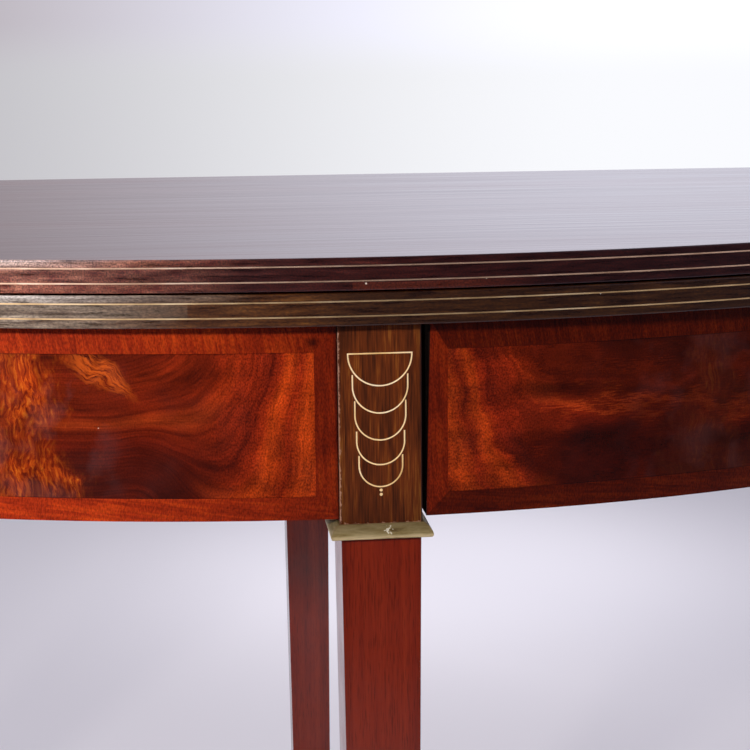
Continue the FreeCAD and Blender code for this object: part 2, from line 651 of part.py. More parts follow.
def fixed_legs():
    inlay = motif()
    ring_piece = collar()
    head = rectangle(HALF_HEAD, f"-({HALF_HEAD} - sizes.facing_thickness)", HALF_HEAD)
    mortises = {
        "front": [front_tenon(f"front_mortise_{name}", side, "sizes.joint_fit")
                  for name, side in SIDES],
        "left": [corner_tenon("left_mortise", -1, "sizes.joint_fit")],
        "right": [corner_tenon("right_mortise", 1, "sizes.joint_fit")],
    }
    for name, x, y, turn in FIXED_LEGS:
        body = stand(leg_body(f"leg_{name}", FRAME_TOP, head), x, y, turn)
        node(cut(f"leg_{name}", body, mortises[name]), f"leg_{name}")
        inlay_groove = fuse(f"facing_{name}_inlay", inlay)
        facing = cut(f"facing_{name}", facing_board(f"facing_{name}_board"), [inlay_groove])
        node(stand(facing, x, y, turn), f"facing_{name}")
        node(stand(group(f"motif_{name}", inlay), x, y, turn), f"brass_motif_{name}")
        node(stand(group(f"collar_{name}", [ring_piece]), x, y, turn), f"collar_{name}")
    return ring_piece


# Gate: a fly rail on a wooden knuckle joint, with the swing leg tenoned to its end.

def finger_levels(turning):
    """Heights of the knuckle fingers that turn, or of those that stay, from the bottom up."""
    pitch = f"(({GATE_TOP} - {FRAME_FOOT}) / {FINGERS})"
    for order in range(FINGERS):
        if bool(order % 2) == turning:
            low = f"({FRAME_FOOT} + {order} * {pitch})"
            yield low, f"({low} + {pitch})"


def knuckle_rod(name, radius, low, high):
    return rod(name, radius, (KNUCKLE, FLY_RAIL_MIDDLE, low), f"{high} - {low}")


def knuckled_rail(name, length_range, front, turning):
    """Half of the fly rail: its own fingers rounded, the other half's fingers hollowed out."""
    rail = slab(f"{name}_rail", length_range, (front, FLY_RAIL_BACK), (FRAME_FOOT, GATE_TOP))
    side = -1 if turning else 1
    half = "(sizes.fly_rail_thickness / 2 + sizes.overrun)"
    shoulder = doc.addObject("PartDesign::Body", f"{name}_shoulder")
    section = outline(shoulder, "XY_Plane", f"{name}_shoulder_section", (
        (KNUCKLE, f"{FLY_RAIL_MIDDLE} - sizes.knuckle_play"),
        (KNUCKLE, f"{FLY_RAIL_MIDDLE} + {half}"),
        (f"{KNUCKLE} + {side} * ({half} + sizes.knuckle_play)", f"{FLY_RAIL_MIDDLE} + {half}"),
    ), FRAME_FOOT)
    pad(shoulder, f"{name}_shoulder_pad", section, f"{GATE_TOP} - {FRAME_FOOT}")
    clear = "(sizes.fly_rail_thickness / 2 + sizes.knuckle_play)"
    hollows = [knuckle_rod(f"{name}_hollow_{i}", clear, f"({low} - sizes.finger_play / 2)",
                           f"({high} + sizes.finger_play / 2)")
               for i, (low, high) in enumerate(finger_levels(not turning))]
    cleared = cut(f"{name}_cleared", rail, [shoulder, *hollows])
    fingers = [knuckle_rod(f"{name}_finger_{i}", "(sizes.fly_rail_thickness / 2)",
                           f"({low} + sizes.finger_play / 2)" if i or turning else low,
                           f"({high} - sizes.finger_play / 2)")
               for i, (low, high) in enumerate(finger_levels(turning))]
    play = "sizes.pin_play" if turning else "0"
    bore = f"(sizes.knuckle_pin_radius + {play})"
    pin_hole = knuckle_rod(f"{name}_pin_hole", bore, FRAME_FOOT, GATE_TOP)
    return cut(f"{name}_bored", fuse(f"{name}_knuckled", [cleared, *fingers]), [pin_hole])


def gate_tenon(name, play):
    """Tenon of the fly rail in the swing leg, or its mortise with the play added."""
    cheek = f"({HALF_TENON} + {play})"
    return slab(name, (f"{SWING_LEG_SIDE} - sizes.gate_tenon_length - {play}",
                       f"{SWING_LEG_SIDE} + sizes.overrun"),
                (f"{FLY_RAIL_MIDDLE} - {cheek}", f"{FLY_RAIL_MIDDLE} + {cheek}"),
                (f"{TENON_LOW} - {play}", f"{TENON_HIGH} + {play}"))


def gate(ring_piece):
    corner_head = f"({LEG_AXIS} - {HALF_HEAD})"
    fixed = knuckled_rail("fly_rail_fixed", (KNUCKLE, corner_head), BACK_RAIL_BACK, False)
    node(fixed, "fly_rail_fixed")
    moving = knuckled_rail("fly_rail_swing", (SWING_LEG_SIDE, KNUCKLE), FLY_RAIL_FRONT, True)
    tenon = gate_tenon("fly_rail_tenon", "0")
    node(fuse("fly_rail_swing_tenoned", [moving, tenon]), "fly_rail_swing")
    pin = knuckle_rod("knuckle_pin_rod", "sizes.knuckle_pin_radius", FRAME_FOOT, GATE_TOP)
    node(pin, "knuckle_pin")
    place = ("sizes.gate_offset", SWING_LEG, 0)
    body = stand(leg_body("leg_swing", GATE_TOP, square("sizes.leg_width")), *place)
    node(cut("leg_swing", body, [gate_tenon("leg_swing_mortise", "sizes.joint_fit")]), "leg_swing")
    node(stand(group("collar_swing", [ring_piece]), *place), "collar_swing")


# Inside of the frame: back rail, brace, glue blocks and the screws that hold the lower leaf.

def back_rail():
    reach = "sizes.top_radius"
    board = slab("back_rail_board", (f"-{reach}", reach), (BACK_RAIL_FRONT, BACK_RAIL_BACK),
                 (FRAME_FOOT, FRAME_TOP))
    inside = rod("back_rail_inside", RAIL_SEAT, ("0", BACK, FRAME_FOOT), "sizes.apron_height")
    node(common("back_rail", board, inside), "back_rail")


def brace():
    half = "(sizes.brace_width / 2)"
    head_back = f"({BACK} - {LEG_AXIS} + {HALF_HEAD})"
    node(slab("brace", (f"-{half}", half), (head_back, BACK_RAIL_FRONT),
              (f"{FRAME_TOP} - sizes.brace_height", FRAME_TOP)), "medial_brace")


def block_turns():
    """Angles of the glue blocks from the front, left then right."""
    return [side * share * QUARTER_TURN for name, side in SIDES for share in BLOCK_SHARES]


def around(piece, turn):
    """Turn a piece about the middle of the leaves' back edge."""
    piece.Placement = FreeCAD.Placement(FreeCAD.Vector(), FreeCAD.Rotation(UP, turn))
    return bind(piece, Placement__Base__y=BACK)


def top_screws():
    """Screws driven up through the glue blocks into the lower leaf."""
    middle = f"(-({RAIL_INSIDE} - sizes.block_depth / 2))"
    block_foot = f"({FRAME_TOP} - sizes.block_height)"
    shank = rod("top_screw_shank", "sizes.top_screw_radius", ("0", middle, block_foot),
                "sizes.block_height + sizes.top_screw_bite")
    head = rod("top_screw_head", "sizes.top_screw_head_radius", ("0", middle, block_foot),
               "sizes.top_screw_head_height")
    pattern = fuse("top_screw", [shank, head])
    screws = []
    for order, turn in enumerate(block_turns()):
        screws.append(around(group(f"top_screw_{order}", [pattern]), turn))
    node(group("top_screws", screws), "top_screws")
    return screws


def glue_blocks(screws):
    half = "(sizes.block_length / 2)"
    board = slab("glue_block_board", (f"-{half}", half),
                 (f"-{RAIL_INSIDE}", f"-({RAIL_INSIDE} - sizes.block_depth)"),
                 (f"{FRAME_TOP} - sizes.block_height", FRAME_TOP))
    inside = rod("glue_block_inside", RAIL_SEAT, ("0", "0", FRAME_FOOT), "sizes.apron_height")
    pattern = common("glue_block", board, inside)
    blocks = []
    for order, turn in enumerate(block_turns()):
        seated = around(group(f"glue_block_seat_{order}", [pattern]), turn)
        blocks.append(cut(f"glue_block_{order}", seated, [screws[order]]))
    node(group("glue_blocks", blocks), "glue_blocks")


def hinge_pins():
    for name, side in SIDES:
        node(hinge_rod(f"hinge_pin_{name}", hinge_middle(side), "sizes.hinge_pin_radius",
                       f"-{HINGE_HALF}", HINGE_HALF), f"hinge_pin_{name}")


screws = top_screws()
leaf("lower_leaf", FRAME_TOP, -1, screws)
leaf("upper_leaf", f"({LEAF_MIDDLE} + sizes.leaf_gap / 2)", 1, [])
hinge_pins()
for side_name, side in SIDES:
    curved_rail(side_name, side)
    panel_veneer(side_name, side)
ring_piece = fixed_legs()
gate(ring_piece)
back_rail()
brace()
glue_blocks(screws)
doc.recompute()

failed = [item.Label for item in doc.Objects if "Invalid" in item.State or "Error" in item.State]
failed += [piece.Label for piece in nodes if piece.Shape.isNull() or not piece.Shape.isValid()]
if failed:
    raise SystemExit("failed: " + ", ".join(failed))
os.makedirs("parts", exist_ok=True)
for piece in nodes:
    piece.Shape.exportStep(os.path.join("parts", piece.Label + ".step"))
    print(piece.Label, len(piece.Shape.Solids), round(piece.Shape.Volume, 1))
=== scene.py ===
import math
from functools import partial

import bmesh
import bpy
from mathutils import Matrix, Vector


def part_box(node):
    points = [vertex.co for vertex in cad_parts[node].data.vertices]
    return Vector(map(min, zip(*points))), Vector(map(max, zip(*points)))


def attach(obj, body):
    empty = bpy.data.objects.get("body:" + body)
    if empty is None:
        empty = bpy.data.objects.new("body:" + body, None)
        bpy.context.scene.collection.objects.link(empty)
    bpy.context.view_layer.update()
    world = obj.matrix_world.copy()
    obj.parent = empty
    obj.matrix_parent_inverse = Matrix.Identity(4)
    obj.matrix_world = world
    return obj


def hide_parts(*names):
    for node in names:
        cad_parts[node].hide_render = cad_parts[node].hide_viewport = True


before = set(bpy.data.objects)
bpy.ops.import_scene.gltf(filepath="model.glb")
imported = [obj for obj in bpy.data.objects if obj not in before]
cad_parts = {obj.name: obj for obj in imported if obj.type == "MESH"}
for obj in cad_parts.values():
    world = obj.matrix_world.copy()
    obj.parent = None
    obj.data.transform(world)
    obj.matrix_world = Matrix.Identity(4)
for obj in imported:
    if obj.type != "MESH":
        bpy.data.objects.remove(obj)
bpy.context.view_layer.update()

# Curved rails: two quarter rings of oak bricks, glued up in staggered courses and sawn to the
# curve.  They are tenoned into the heads of the legs, and the veneer hides their outer faces.

MM = 0.001
CENTRE_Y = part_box("upper_leaf")[1].y / MM
FRAME_FOOT, FRAME_TOP = (corner.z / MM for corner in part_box("apron_rail_left"))
APRON_RADIUS = 588.2
BRICK_LENGTH = 190.0
BRICK_COURSES = 3
BRICK_JOINT = 0.35
BRICK_GRAIN = (83.333, 2.0, 2.2222)
OAK_PALE = "#A9845A"
OAK_DARK = "#8A6640"
OAK_JOINT = "#3B2A1A"
SHADE_GAP_START, SHADE_GAP_END = 25.0, 34.0
# Settings that recur: a pattern sized in millimetres, a range that eases in and out, a stain that
# multiplies the colour under it, and one colour laid over another.
SIZED = {"vector_type": "TEXTURE"}
EASED = {"interpolation_type": "SMOOTHSTEP"}
STAIN = {"data_type": "RGBA", "blend_type": "MULTIPLY"}
COVER = {"data_type": "RGBA"}


def linear(code):
    """Linear colour of an sRGB hex value."""
    channels = [int(code[place:place + 2], 16) / 255 for place in (1, 3, 5)]
    return [c / 12.92 if c <= 0.04045 else ((c + 0.055) / 1.055) ** 2.4 for c in channels] + [1.0]


def add_node(tree, kind, sockets=None, out=0, stops=(), **settings):
    """Add a shader node with its settings, values and links, and give one of its outputs.

    MapRange takes a value, the two ends it comes from and the two ends it goes to.
    """
    made = tree.nodes.new("ShaderNode" + kind)
    for name, value in settings.items():
        setattr(made, name, value)
    for key, value in (sockets or {}).items():
        if isinstance(value, bpy.types.NodeSocket):
            tree.links.new(value, made.inputs[key])
        else:
            made.inputs[key].default_value = value
    for order, (place, shade) in enumerate(stops):
        if order >= len(made.color_ramp.elements):
            made.color_ramp.elements.new(1.0)
        made.color_ramp.elements[order].position = place
        made.color_ramp.elements[order].color = linear(shade)
    return made.outputs[out] if made.outputs else made


def new_finish(name):
    """Empty material, and the function that adds nodes to it."""
    made = bpy.data.materials.new(name)
    made.use_nodes = True
    made.node_tree.nodes.clear()
    return made, partial(add_node, made.node_tree)


def close_finish(add, sockets):
    """Give a finish its surface and its output."""
    add("OutputMaterial", {"Surface": add("BsdfPrincipled", sockets)})


def dress(finish, *names):
    """Give a finish to nodes of the frame."""
    for name in names:
        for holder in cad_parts[name].material_slots:
            holder.material = finish


def object_place(add):
    """Object coordinates in millimetres."""
    metres = add("TexCoord", out="Object")
    return add("VectorMath", {0: metres, "Scale": 1 / MM}, operation="SCALE")


def arc_place(add, radius):
    """Places on a curved face in millimetres: along the arc from the middle, outward and up."""
    x, y, up = add("SeparateXYZ", {0: object_place(add)}).node.outputs
    forward = add("Math", {0: CENTRE_Y, 1: y}, operation="SUBTRACT")
    angle = add("Math", {0: x, 1: forward}, operation="ARCTAN2")
    along = add("Math", {0: angle, 1: radius}, operation="MULTIPLY")
    flat = add("CombineXYZ", {0: x, 1: forward})
    out = add("VectorMath", {0: flat}, "Value", operation="LENGTH")
    return along, out, up


# Sawn oak, dry and unpolished: pale brown with long pores, dull all over.
oak_bricks, add = new_finish("sawn_oak_bricks")
along, out, up = arc_place(add, APRON_RADIUS)
course_foot = add("Math", {0: up, 1: FRAME_FOOT}, operation="SUBTRACT")
wall = add("CombineXYZ", {0: along, 1: course_foot})
bricks = add("TexBrick", {
    "Vector": wall, "Scale": 1.0, "Mortar Size": BRICK_JOINT, "Brick Width": BRICK_LENGTH,
    "Row Height": (FRAME_TOP - FRAME_FOOT) / BRICK_COURSES,
    "Color1": linear(OAK_PALE), "Color2": linear(OAK_DARK), "Mortar": linear(OAK_JOINT)})
solid = add("CombineXYZ", {0: along, 1: out, 2: up})
lengthwise = add("Mapping", {"Vector": solid, "Scale": BRICK_GRAIN}, **SIZED)
grain = add("TexNoise", {"Vector": lengthwise, "Scale": 1.0, "Detail": 5.0, "Distortion": 0.4})
shade = add("MapRange", {0: grain, 1: 0.3, 2: 0.7, 3: 0.72, 4: 1.12})
colour = add("Mix", {0: 1.0, 6: bricks, 7: shade}, 2, **STAIN)
# Painted shade: the rails beside the front leg are darkened almost to black to stand in for the shadow in
# the gap there.
reach = add("Math", {0: along}, operation="ABSOLUTE")
dirt_and_shade = add("MapRange", {0: reach, 1: SHADE_GAP_START, 2: SHADE_GAP_END, 3: 0.03, 4: 1.0})
colour = add("Mix", {0: 1.0, 6: colour, 7: dirt_and_shade}, 2, **STAIN)
relief = add("Bump", {"Strength": 0.4, "Distance": 0.3 * MM, "Height": grain})
close_finish(add, {"Base Color": colour, "Roughness": 0.75, "Normal": relief,
                   "Specular IOR Level": 0.2})
dress(oak_bricks, "apron_rail_left", "apron_rail_right")


# Back rail, brace and glue blocks: straight oak, planed by hand.  The brace is notched between the
# front leg and the back rail, and the blocks are rubbed into the angle under the lower leaf.

OAK_SHADES = ((0.25, "#6E4E2F"), (0.5, "#967048"), (0.75, "#B08A5C"))
RAIL_GRAIN = (111.11, 3.8462, 4.3478)
BRACE_GRAIN = (4.3478, 111.11, 3.8462)


def straight_oak(name, grain_size):
    """Planed oak with a grain of this size, in which the pores are a quarter as large."""
    made, add = new_finish(name)
    drawn = add("Mapping", {"Vector": object_place(add), "Scale": grain_size}, **SIZED)
    grain = add("TexNoise", {"Vector": drawn, "Scale": 1.0, "Detail": 6.0, "Distortion": 0.6})
    colour = add("ValToRGB", {0: grain}, stops=OAK_SHADES)
    pores = add("TexNoise", {"Vector": drawn, "Scale": 4.0})
    cut = add("MapRange", {0: pores, 1: 0.56, 2: 0.66, 3: 1.0, 4: 0.62})
    colour = add("Mix", {0: 1.0, 6: colour, 7: cut}, 2, **STAIN)
    relief = add("Bump", {"Strength": 0.35, "Distance": 0.25 * MM, "Height": cut})
    close_finish(add, {"Base Color": colour, "Roughness": 0.7, "Normal": relief})
    return made


dress(straight_oak("planed_oak_rail", RAIL_GRAIN), "back_rail", "glue_blocks")
dress(straight_oak("planed_oak_brace", BRACE_GRAIN), "medial_brace")


# Fly rails: two lengths of beech, fingered together on an iron pin so that the swing leg can turn
# out under the opened leaf.  Beech is plain and pale, with short flecks of ray.

BEECH_SHADES = ((0.2, "#A77A50"), (0.55, "#BE9467"), (0.85, "#CFA87C"))
BEECH_GRAIN = (142.86, 5.2632, 6.6667)
BEECH_RAYS = (6.25, 1.1111, 1.4286)
GRIME_PATCH = 55.556

beech, add = new_finish("planed_beech")
place = object_place(add)
drawn = add("Mapping", {"Vector": place, "Scale": BEECH_GRAIN}, **SIZED)
grain = add("TexNoise", {"Vector": drawn, "Scale": 1.0, "Detail": 5.0, "Distortion": 0.3})
colour = add("ValToRGB", {0: grain}, stops=BEECH_SHADES)
# The real flecks are a third as large; they are drawn coarse enough to show.
fleck_place = add("Mapping", {"Vector": place, "Scale": BEECH_RAYS}, **SIZED)
flecks = add("TexVoronoi", {"Vector": fleck_place, "Scale": 1.0})
ray = add("MapRange", {0: flecks, 1: 0.12, 2: 0.3, 3: 0.7, 4: 1.0})
colour = add("Mix", {0: 0.5, 6: colour, 7: ray}, 2, **STAIN)
grime = add("TexNoise", {"Vector": place, "Scale": 1 / GRIME_PATCH, "Detail": 4.0})
dirt_and_shade = add("MapRange", {0: grime, 1: 0.35, 2: 0.7, 3: 1.05, 4: 0.68})
colour = add("Mix", {0: 1.0, 6: colour, 7: dirt_and_shade}, 2, **STAIN)
relief = add("Bump", {"Strength": 0.25, "Distance": 0.2 * MM, "Height": grain})
close_finish(add, {"Base Color": colour, "Roughness": 0.62, "Normal": relief})
dress(beech, "fly_rail_fixed", "fly_rail_swing")

# Forged iron pin, brown with age.
IRON = {
    "shades": ((0.35, "#4A4440"), (0.6, "#5C4636"), (0.75, "#70482C")), "blotch": 2.5, "detail": 5.0,
    "metallic": 0.85, "wear": (0.35, 0.7, 0.4, 0.75), "pits": (0.4, 0.15)}


def aged_metal(name, shades, blotch, detail, metallic, wear, pits):
    """Metal blotched by age, with the range of its wear and of its roughness, and the pits in it."""
    made, add = new_finish(name)
    age = add("TexNoise", {"Vector": object_place(add), "Scale": 1 / blotch, "Detail": detail})
    colour = add("ValToRGB", {0: age}, stops=shades)
    rough = add("MapRange", {0: age, 1: wear[0], 2: wear[1], 3: wear[2], 4: wear[3]})
    relief = add("Bump", {"Strength": pits[0], "Distance": pits[1] * MM, "Height": age})
    close_finish(add, {"Base Color": colour, "Metallic": metallic, "Roughness": rough, "Normal": relief})
    return made


dress(aged_metal("aged_iron", **IRON), "knuckle_pin")


# Legs: four square tapered legs of solid mahogany, straight in the grain and French polished.
# The three fixed ones hold the rails' tenons, and the fourth hangs on the swinging fly rail.

LEG_SHADES = ((0.22, "#4A0F06"), (0.45, "#691907"), (0.62, "#77210B"), (0.85, "#8B3012"))
LEG_BANDS = (11.111, 11.111, 454.55)
LEG_STREAKS = (1.7857, 1.7857, 71.429)
LEG_PORES = (0.47619, 0.47619, 9.0909)
POLISH_SMEAR = 25.0


def straight_grain(add, place, bands, streaks, wander, detail, share):
    """Narrow streaks of straight-grained wood, and their mix with wide bands that wander."""
    wide = add("Mapping", {"Vector": place, "Scale": bands}, **SIZED)
    wide = add("TexNoise", {"Vector": wide, "Scale": 1.0, "Detail": 3.0, "Distortion": wander})
    narrow = add("Mapping", {"Vector": place, "Scale": streaks}, **SIZED)
    narrow = add("TexNoise", {"Vector": narrow, "Scale": 1.0, "Detail": detail})
    return narrow, add("Mix", {0: share, 2: wide, 3: narrow}, 0)


leg_wood, add = new_finish("polished_leg_mahogany")
place = object_place(add)
figure = straight_grain(add, place, LEG_BANDS, LEG_STREAKS, wander=0.5, detail=4.0, share=0.45)[1]
colour = add("ValToRGB", {0: figure}, stops=LEG_SHADES)
# Pores of mahogany are a fifth of a millimetre wide; they are drawn wide enough to show.
pore_place = add("Mapping", {"Vector": place, "Scale": LEG_PORES}, **SIZED)
pores = add("TexNoise", {"Vector": pore_place, "Scale": 1.0, "Detail": 1.0})
dark = add("MapRange", {0: pores, 1: 0.52, 2: 0.7, 3: 1.04, 4: 0.66})
colour = add("Mix", {0: 1.0, 6: colour, 7: dark}, 2, **STAIN)
smears = add("TexNoise", {"Vector": place, "Scale": 1 / POLISH_SMEAR, "Detail": 4.0})
rough = add("MapRange", {0: smears, 1: 0.3, 2: 0.7, 3: 0.1, 4: 0.2})
relief = add("Bump", {"Strength": 0.08, "Distance": 0.1 * MM, "Height": pores})
close_finish(add, {"Base Color": colour, "Roughness": rough, "Normal": relief,
                   "Specular IOR Level": 0.55})
dress(leg_wood, "leg_front", "leg_left", "leg_right", "leg_swing")


# Flame veneer: sheets of mahogany sawn through the crotch of the tree and laid side by side, each
# turned over against the last, so that the plumes answer each other along the apron.

SHEET_WIDTH = 255.0
FIELD_START = 27.0
FIELD_LOW, FIELD_HIGH = (corner.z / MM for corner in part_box("flame_veneer_left"))
JOINT_LINE = 0.5
# The left-hand and the right-hand sheets lie this far to each side of the middle of the pattern, and
# what is drawn on one of them alone reaches no further than the depth.
SHEET_SHIFT = 40.0
SHEET_DEPTH = 9.0
# Sizes of the figure: across a sheet, up it and from sheet to sheet; for fibres, across the arcs
# and along them.
FIGURE = {
    "sway": (50.0, 33.333, 10.0), "stray": (25.0, 11.111, 10.0), "fuzz": (6.25, 0.76923, 10.0),
    "fire": (0.66667, 1.0, 10.0), "fibre": (1.4286, 25.0, 10.0), "cloud": (20.0, 9.0909, 10.0),
    "curl": (16.667, 20.0, 10.0), "torn": (1.3333, 5.0, 10.0), "burnt": (11.111, 18.182, 10.0),
    "fray": (10.0, 16.667, 10.0), "patch": (10.0, 13.333, 10.0), "bloom": (33.333, 62.5, 20.0),
    "haze_sheen": (16.667, 20.0, 10.0)}
NOISE_MEAN = (0.5, 0.5, 0.5)
LEFT_SWAY = (10.0, 9.0, 0.0)
RIGHT_SWAY = (14.0, 17.0, 0.0)
# The arcs: where they leave the feather and how they bend upward from there.
PLUME_TOP = 720.4
PLUME_DEPTH = 80.0
HOLLOW_START = 47.6
HOLLOW_ROUND = 30.0
HOLLOW_SLOPE = 1.37
HOLLOW_BEND = 27.5
STEEP_BEND = 62.0
STRAY, FUZZ = 8.0, 6.0
STRAY_START, STRAY_END = 20.0, 45.0
PALE_START, PALE_END = 14.0, 40.0
OUTER_START, OUTER_END = 24.0, 54.0
INNER_SHADES = (
    (0.0, "#561506"), (0.1, "#521405"), (0.2, "#601807"), (0.28, "#742009"), (0.36, "#601807"),
    (0.42, "#711E08"), (0.465, "#983410"), (0.505, "#741E08"), (0.575, "#5E1506"), (0.66, "#4E1106"),
    (0.8, "#4B1006"), (1.0, "#641807"))
OUTER_SHADES = (
    (0.3, "#741D08"), (0.45, "#8A2609"), (0.52, "#7A2009"), (0.585, "#641707"), (0.61, "#88250A"),
    (0.637, "#A8390D"), (0.685, "#7E2109"), (0.735, "#A6390D"), (0.8, "#87280A"), (1.0, "#902F0B"))
# Lenses of the right-hand sheets: middle, half sizes and gain.
RIGHT_FIGURE = (
    ((-117.0, 713.0), (18.0, 8.0), 0.72), ((-118.0, 689.0), (12.0, 24.0), 0.84),
    ((-99.0, 703.0), (24.0, 6.0), 1.4), ((-78.0, 695.5), (28.0, 3.6), 0.62),
    ((-78.0, 680.5), (36.0, 10.0), 2.0), ((-60.0, 669.0), (38.0, 8.0), 0.72))
RIGHT_TONE = 0.75
RIGHT_SHADE_START, RIGHT_SHADE_END = 45.0, 115.0
# The feather: how its streaks curl, fray at the sides, brown and spread out downward.
FEATHER_SHADES = ((0.36, "#681C08"), (0.46, "#942E0B"), (0.56, "#BC4A10"), (0.68, "#DA701E"))
FEATHER_GREY = "#5E281C"
FEATHER_HALF = 24.0
CURL = (12.0, 22.0, 0.0)
FRAY_IN, FRAY_OUT = -14.0, 12.0
PATCH_SHIFT = (-30.0, 0.0, 0.0)
BROWN_START, BROWN_END = 36.0, 62.0
FLARE_START, FLARE_END, FLARE = 42.0, 66.0, 11.0
TONGUE_SHADE = "#BC5016"
TONGUE_MIDDLE = (-37.0, 706.0)
TONGUE_SIZE = (19.0, 6.5)
TONGUE_TURN = math.radians(33)
FOOT_START, FOOT_END = 15.0, 70.0
HAZE_SHEEN_SHADE = "#9A8A92"
HAZE_SHEEN_START, HAZE_SHEEN_END = 24.0, 50.0
SPECK_SHADE = "#D0B8A4"
SPECK_STEP = 22.2222

flame, add = new_finish("flame_mahogany_veneer")
along, out, up = arc_place(add, APRON_RADIUS)
side = add("Math", {0: along}, operation="SIGN")
on_right = add("Math", {0: side, 1: 0.0}, operation="GREATER_THAN")
reach = add("Math", {0: along}, operation="ABSOLUTE")
from_edge = add("Math", {0: reach, 1: FIELD_START}, operation="SUBTRACT")
across = add("Math", {0: from_edge, 1: SHEET_WIDTH}, operation="PINGPONG")
across = add("Math", {0: across, 1: SHEET_WIDTH / 2}, operation="SUBTRACT")
sheet = add("Math", {0: side, 1: SHEET_SHIFT}, operation="MULTIPLY")
sheet_place = add("CombineXYZ", {0: across, 1: up, 2: sheet})
sway = add("Mapping", {"Vector": sheet_place, "Scale": FIGURE["sway"]}, **SIZED)
sway = add("TexNoise", {"Vector": sway, "Scale": 1.0, "Detail": 3.0, "Roughness": 0.4}, "Color")
sway = add("VectorMath", {0: sway, 1: NOISE_MEAN}, operation="SUBTRACT")
sway_size = add("Mix", {0: on_right, 4: LEFT_SWAY, 5: RIGHT_SWAY}, 1, data_type="VECTOR")
sway = add("VectorMath", {0: sway, 1: sway_size}, operation="MULTIPLY")
swayed = add("VectorMath", {0: sheet_place, 1: sway}, operation="ADD")
swayed_across, swayed_up = add("SeparateXYZ", {0: swayed}).node.outputs[:2]
off_feather = add("Math", {0: swayed_across}, operation="ABSOLUTE")
# Each half of a sheet has its plumes swept in arcs, level beside the feather and rising outward.
outward = add("Math", {0: off_feather, 1: HOLLOW_START}, operation="SUBTRACT")
outward = add("Math", {0: outward, 1: 0.0, 2: HOLLOW_ROUND}, operation="SMOOTH_MAX")
below = add("Math", {0: PLUME_TOP, 1: swayed_up}, operation="SUBTRACT")
lift = add("Math", {0: outward, 1: HOLLOW_BEND}, operation="DIVIDE")
lift = add("Math", {0: lift, 1: lift, 2: 1.0}, operation="MULTIPLY_ADD")
steep = add("Math", {0: outward, 1: STEEP_BEND}, operation="DIVIDE")
steep = add("Math", {0: steep, 1: 4.0}, operation="POWER")
lift = add("Math", {0: lift, 1: steep}, operation="ADD")
sunk = add("Math", {0: below, 1: lift}, operation="DIVIDE")
arc = add("Math", {0: outward, 1: 1 / HOLLOW_SLOPE, 2: sunk}, operation="MULTIPLY_ADD")
# On the right the level arcs stray more and are fuzzy.
stray = add("Mapping", {"Vector": sheet_place, "Scale": FIGURE["stray"]}, **SIZED)
stray = add("TexNoise", {"Vector": stray, "Scale": 1.0, "Detail": 1.0})
stray = add("MapRange", {0: stray, 1: 0.25, 2: 0.75, 3: -STRAY, 4: STRAY})
fuzz = add("Mapping", {"Vector": sheet_place, "Scale": FIGURE["fuzz"]}, **SIZED)
fuzz = add("TexNoise", {"Vector": fuzz, "Scale": 1.0, "Detail": 4.0, "Roughness": 0.6})
fuzz = add("MapRange", {0: fuzz, 1: 0.25, 2: 0.75, 3: -FUZZ, 4: FUZZ})
stray = add("Math", {0: stray, 1: fuzz}, operation="ADD")
straying = add("MapRange", {0: outward, 1: STRAY_START, 2: STRAY_END, 3: 1.0, 4: 0.15})
straying = add("Math", {0: straying, 1: on_right}, operation="MULTIPLY")
arc = add("Math", {0: stray, 1: straying, 2: arc}, operation="MULTIPLY_ADD")
level = add("Math", {0: arc, 1: PLUME_DEPTH}, operation="DIVIDE")
inner = add("ValToRGB", {0: level}, stops=INNER_SHADES)
paling = add("MapRange", {0: outward, 1: PALE_START, 2: PALE_END, 3: 0.95, 4: 0.72})
inner = add("Mix", {0: 1.0, 6: inner, 7: paling}, 2, **STAIN)
outer = add("ValToRGB", {0: level}, stops=OUTER_SHADES)
outer_part = add("MapRange", {0: outward, 1: OUTER_START, 2: OUTER_END}, **EASED)
colour = add("Mix", {0: outer_part, 6: inner, 7: outer}, 2, **COVER)
# Fibres follow the arcs, and short cross-fire of about a millimetre speckles them.
run = add("Math", {0: outward, 1: below}, operation="SUBTRACT")
fibre = add("CombineXYZ", {0: arc, 1: run, 2: sheet})
fibre = add("Mapping", {"Vector": fibre, "Scale": FIGURE["fibre"]}, **SIZED)
fibre = add("TexNoise", {"Vector": fibre, "Scale": 1.0, "Detail": 5.0, "Roughness": 0.65})
fibre = add("MapRange", {0: fibre, 1: 0.34, 2: 0.66, 3: 0.6, 4: 1.45})
fire = add("Mapping", {"Vector": sheet_place, "Scale": FIGURE["fire"]}, **SIZED)
fire = add("TexNoise", {"Vector": fire, "Scale": 1.0, "Detail": 3.0})
fired = add("MapRange", {0: fire, 1: 0.36, 2: 0.64, 3: 0.58, 4: 1.45})
faintly = add("MapRange", {0: fire, 1: 0.36, 2: 0.64, 3: 0.74, 4: 1.08})
fired = add("Mix", {0: outer_part, 2: faintly, 3: fired}, 0)
grain = add("Math", {0: fibre, 1: fired}, operation="MULTIPLY")
colour = add("Mix", {0: 1.0, 6: colour, 7: grain}, 2, **STAIN)
# Soft clouds of darker and paler wood break the arcs up, most of all on the right.
clouds = add("Mapping", {"Vector": swayed, "Scale": FIGURE["cloud"]}, **SIZED)
clouds = add("TexNoise", {"Vector": clouds, "Scale": 1.0, "Detail": 4.0})
clouds = add("MapRange", {0: clouds, 1: 0.35, 2: 0.65, 3: 0.8, 4: 1.2})
depth = add("MapRange", {0: on_right, 3: 1.0, 4: 1.6})
clouds = add("Math", {0: clouds, 1: depth}, operation="POWER")
colour = add("Mix", {0: 1.0, 6: colour, 7: clouds}, 2, **STAIN)
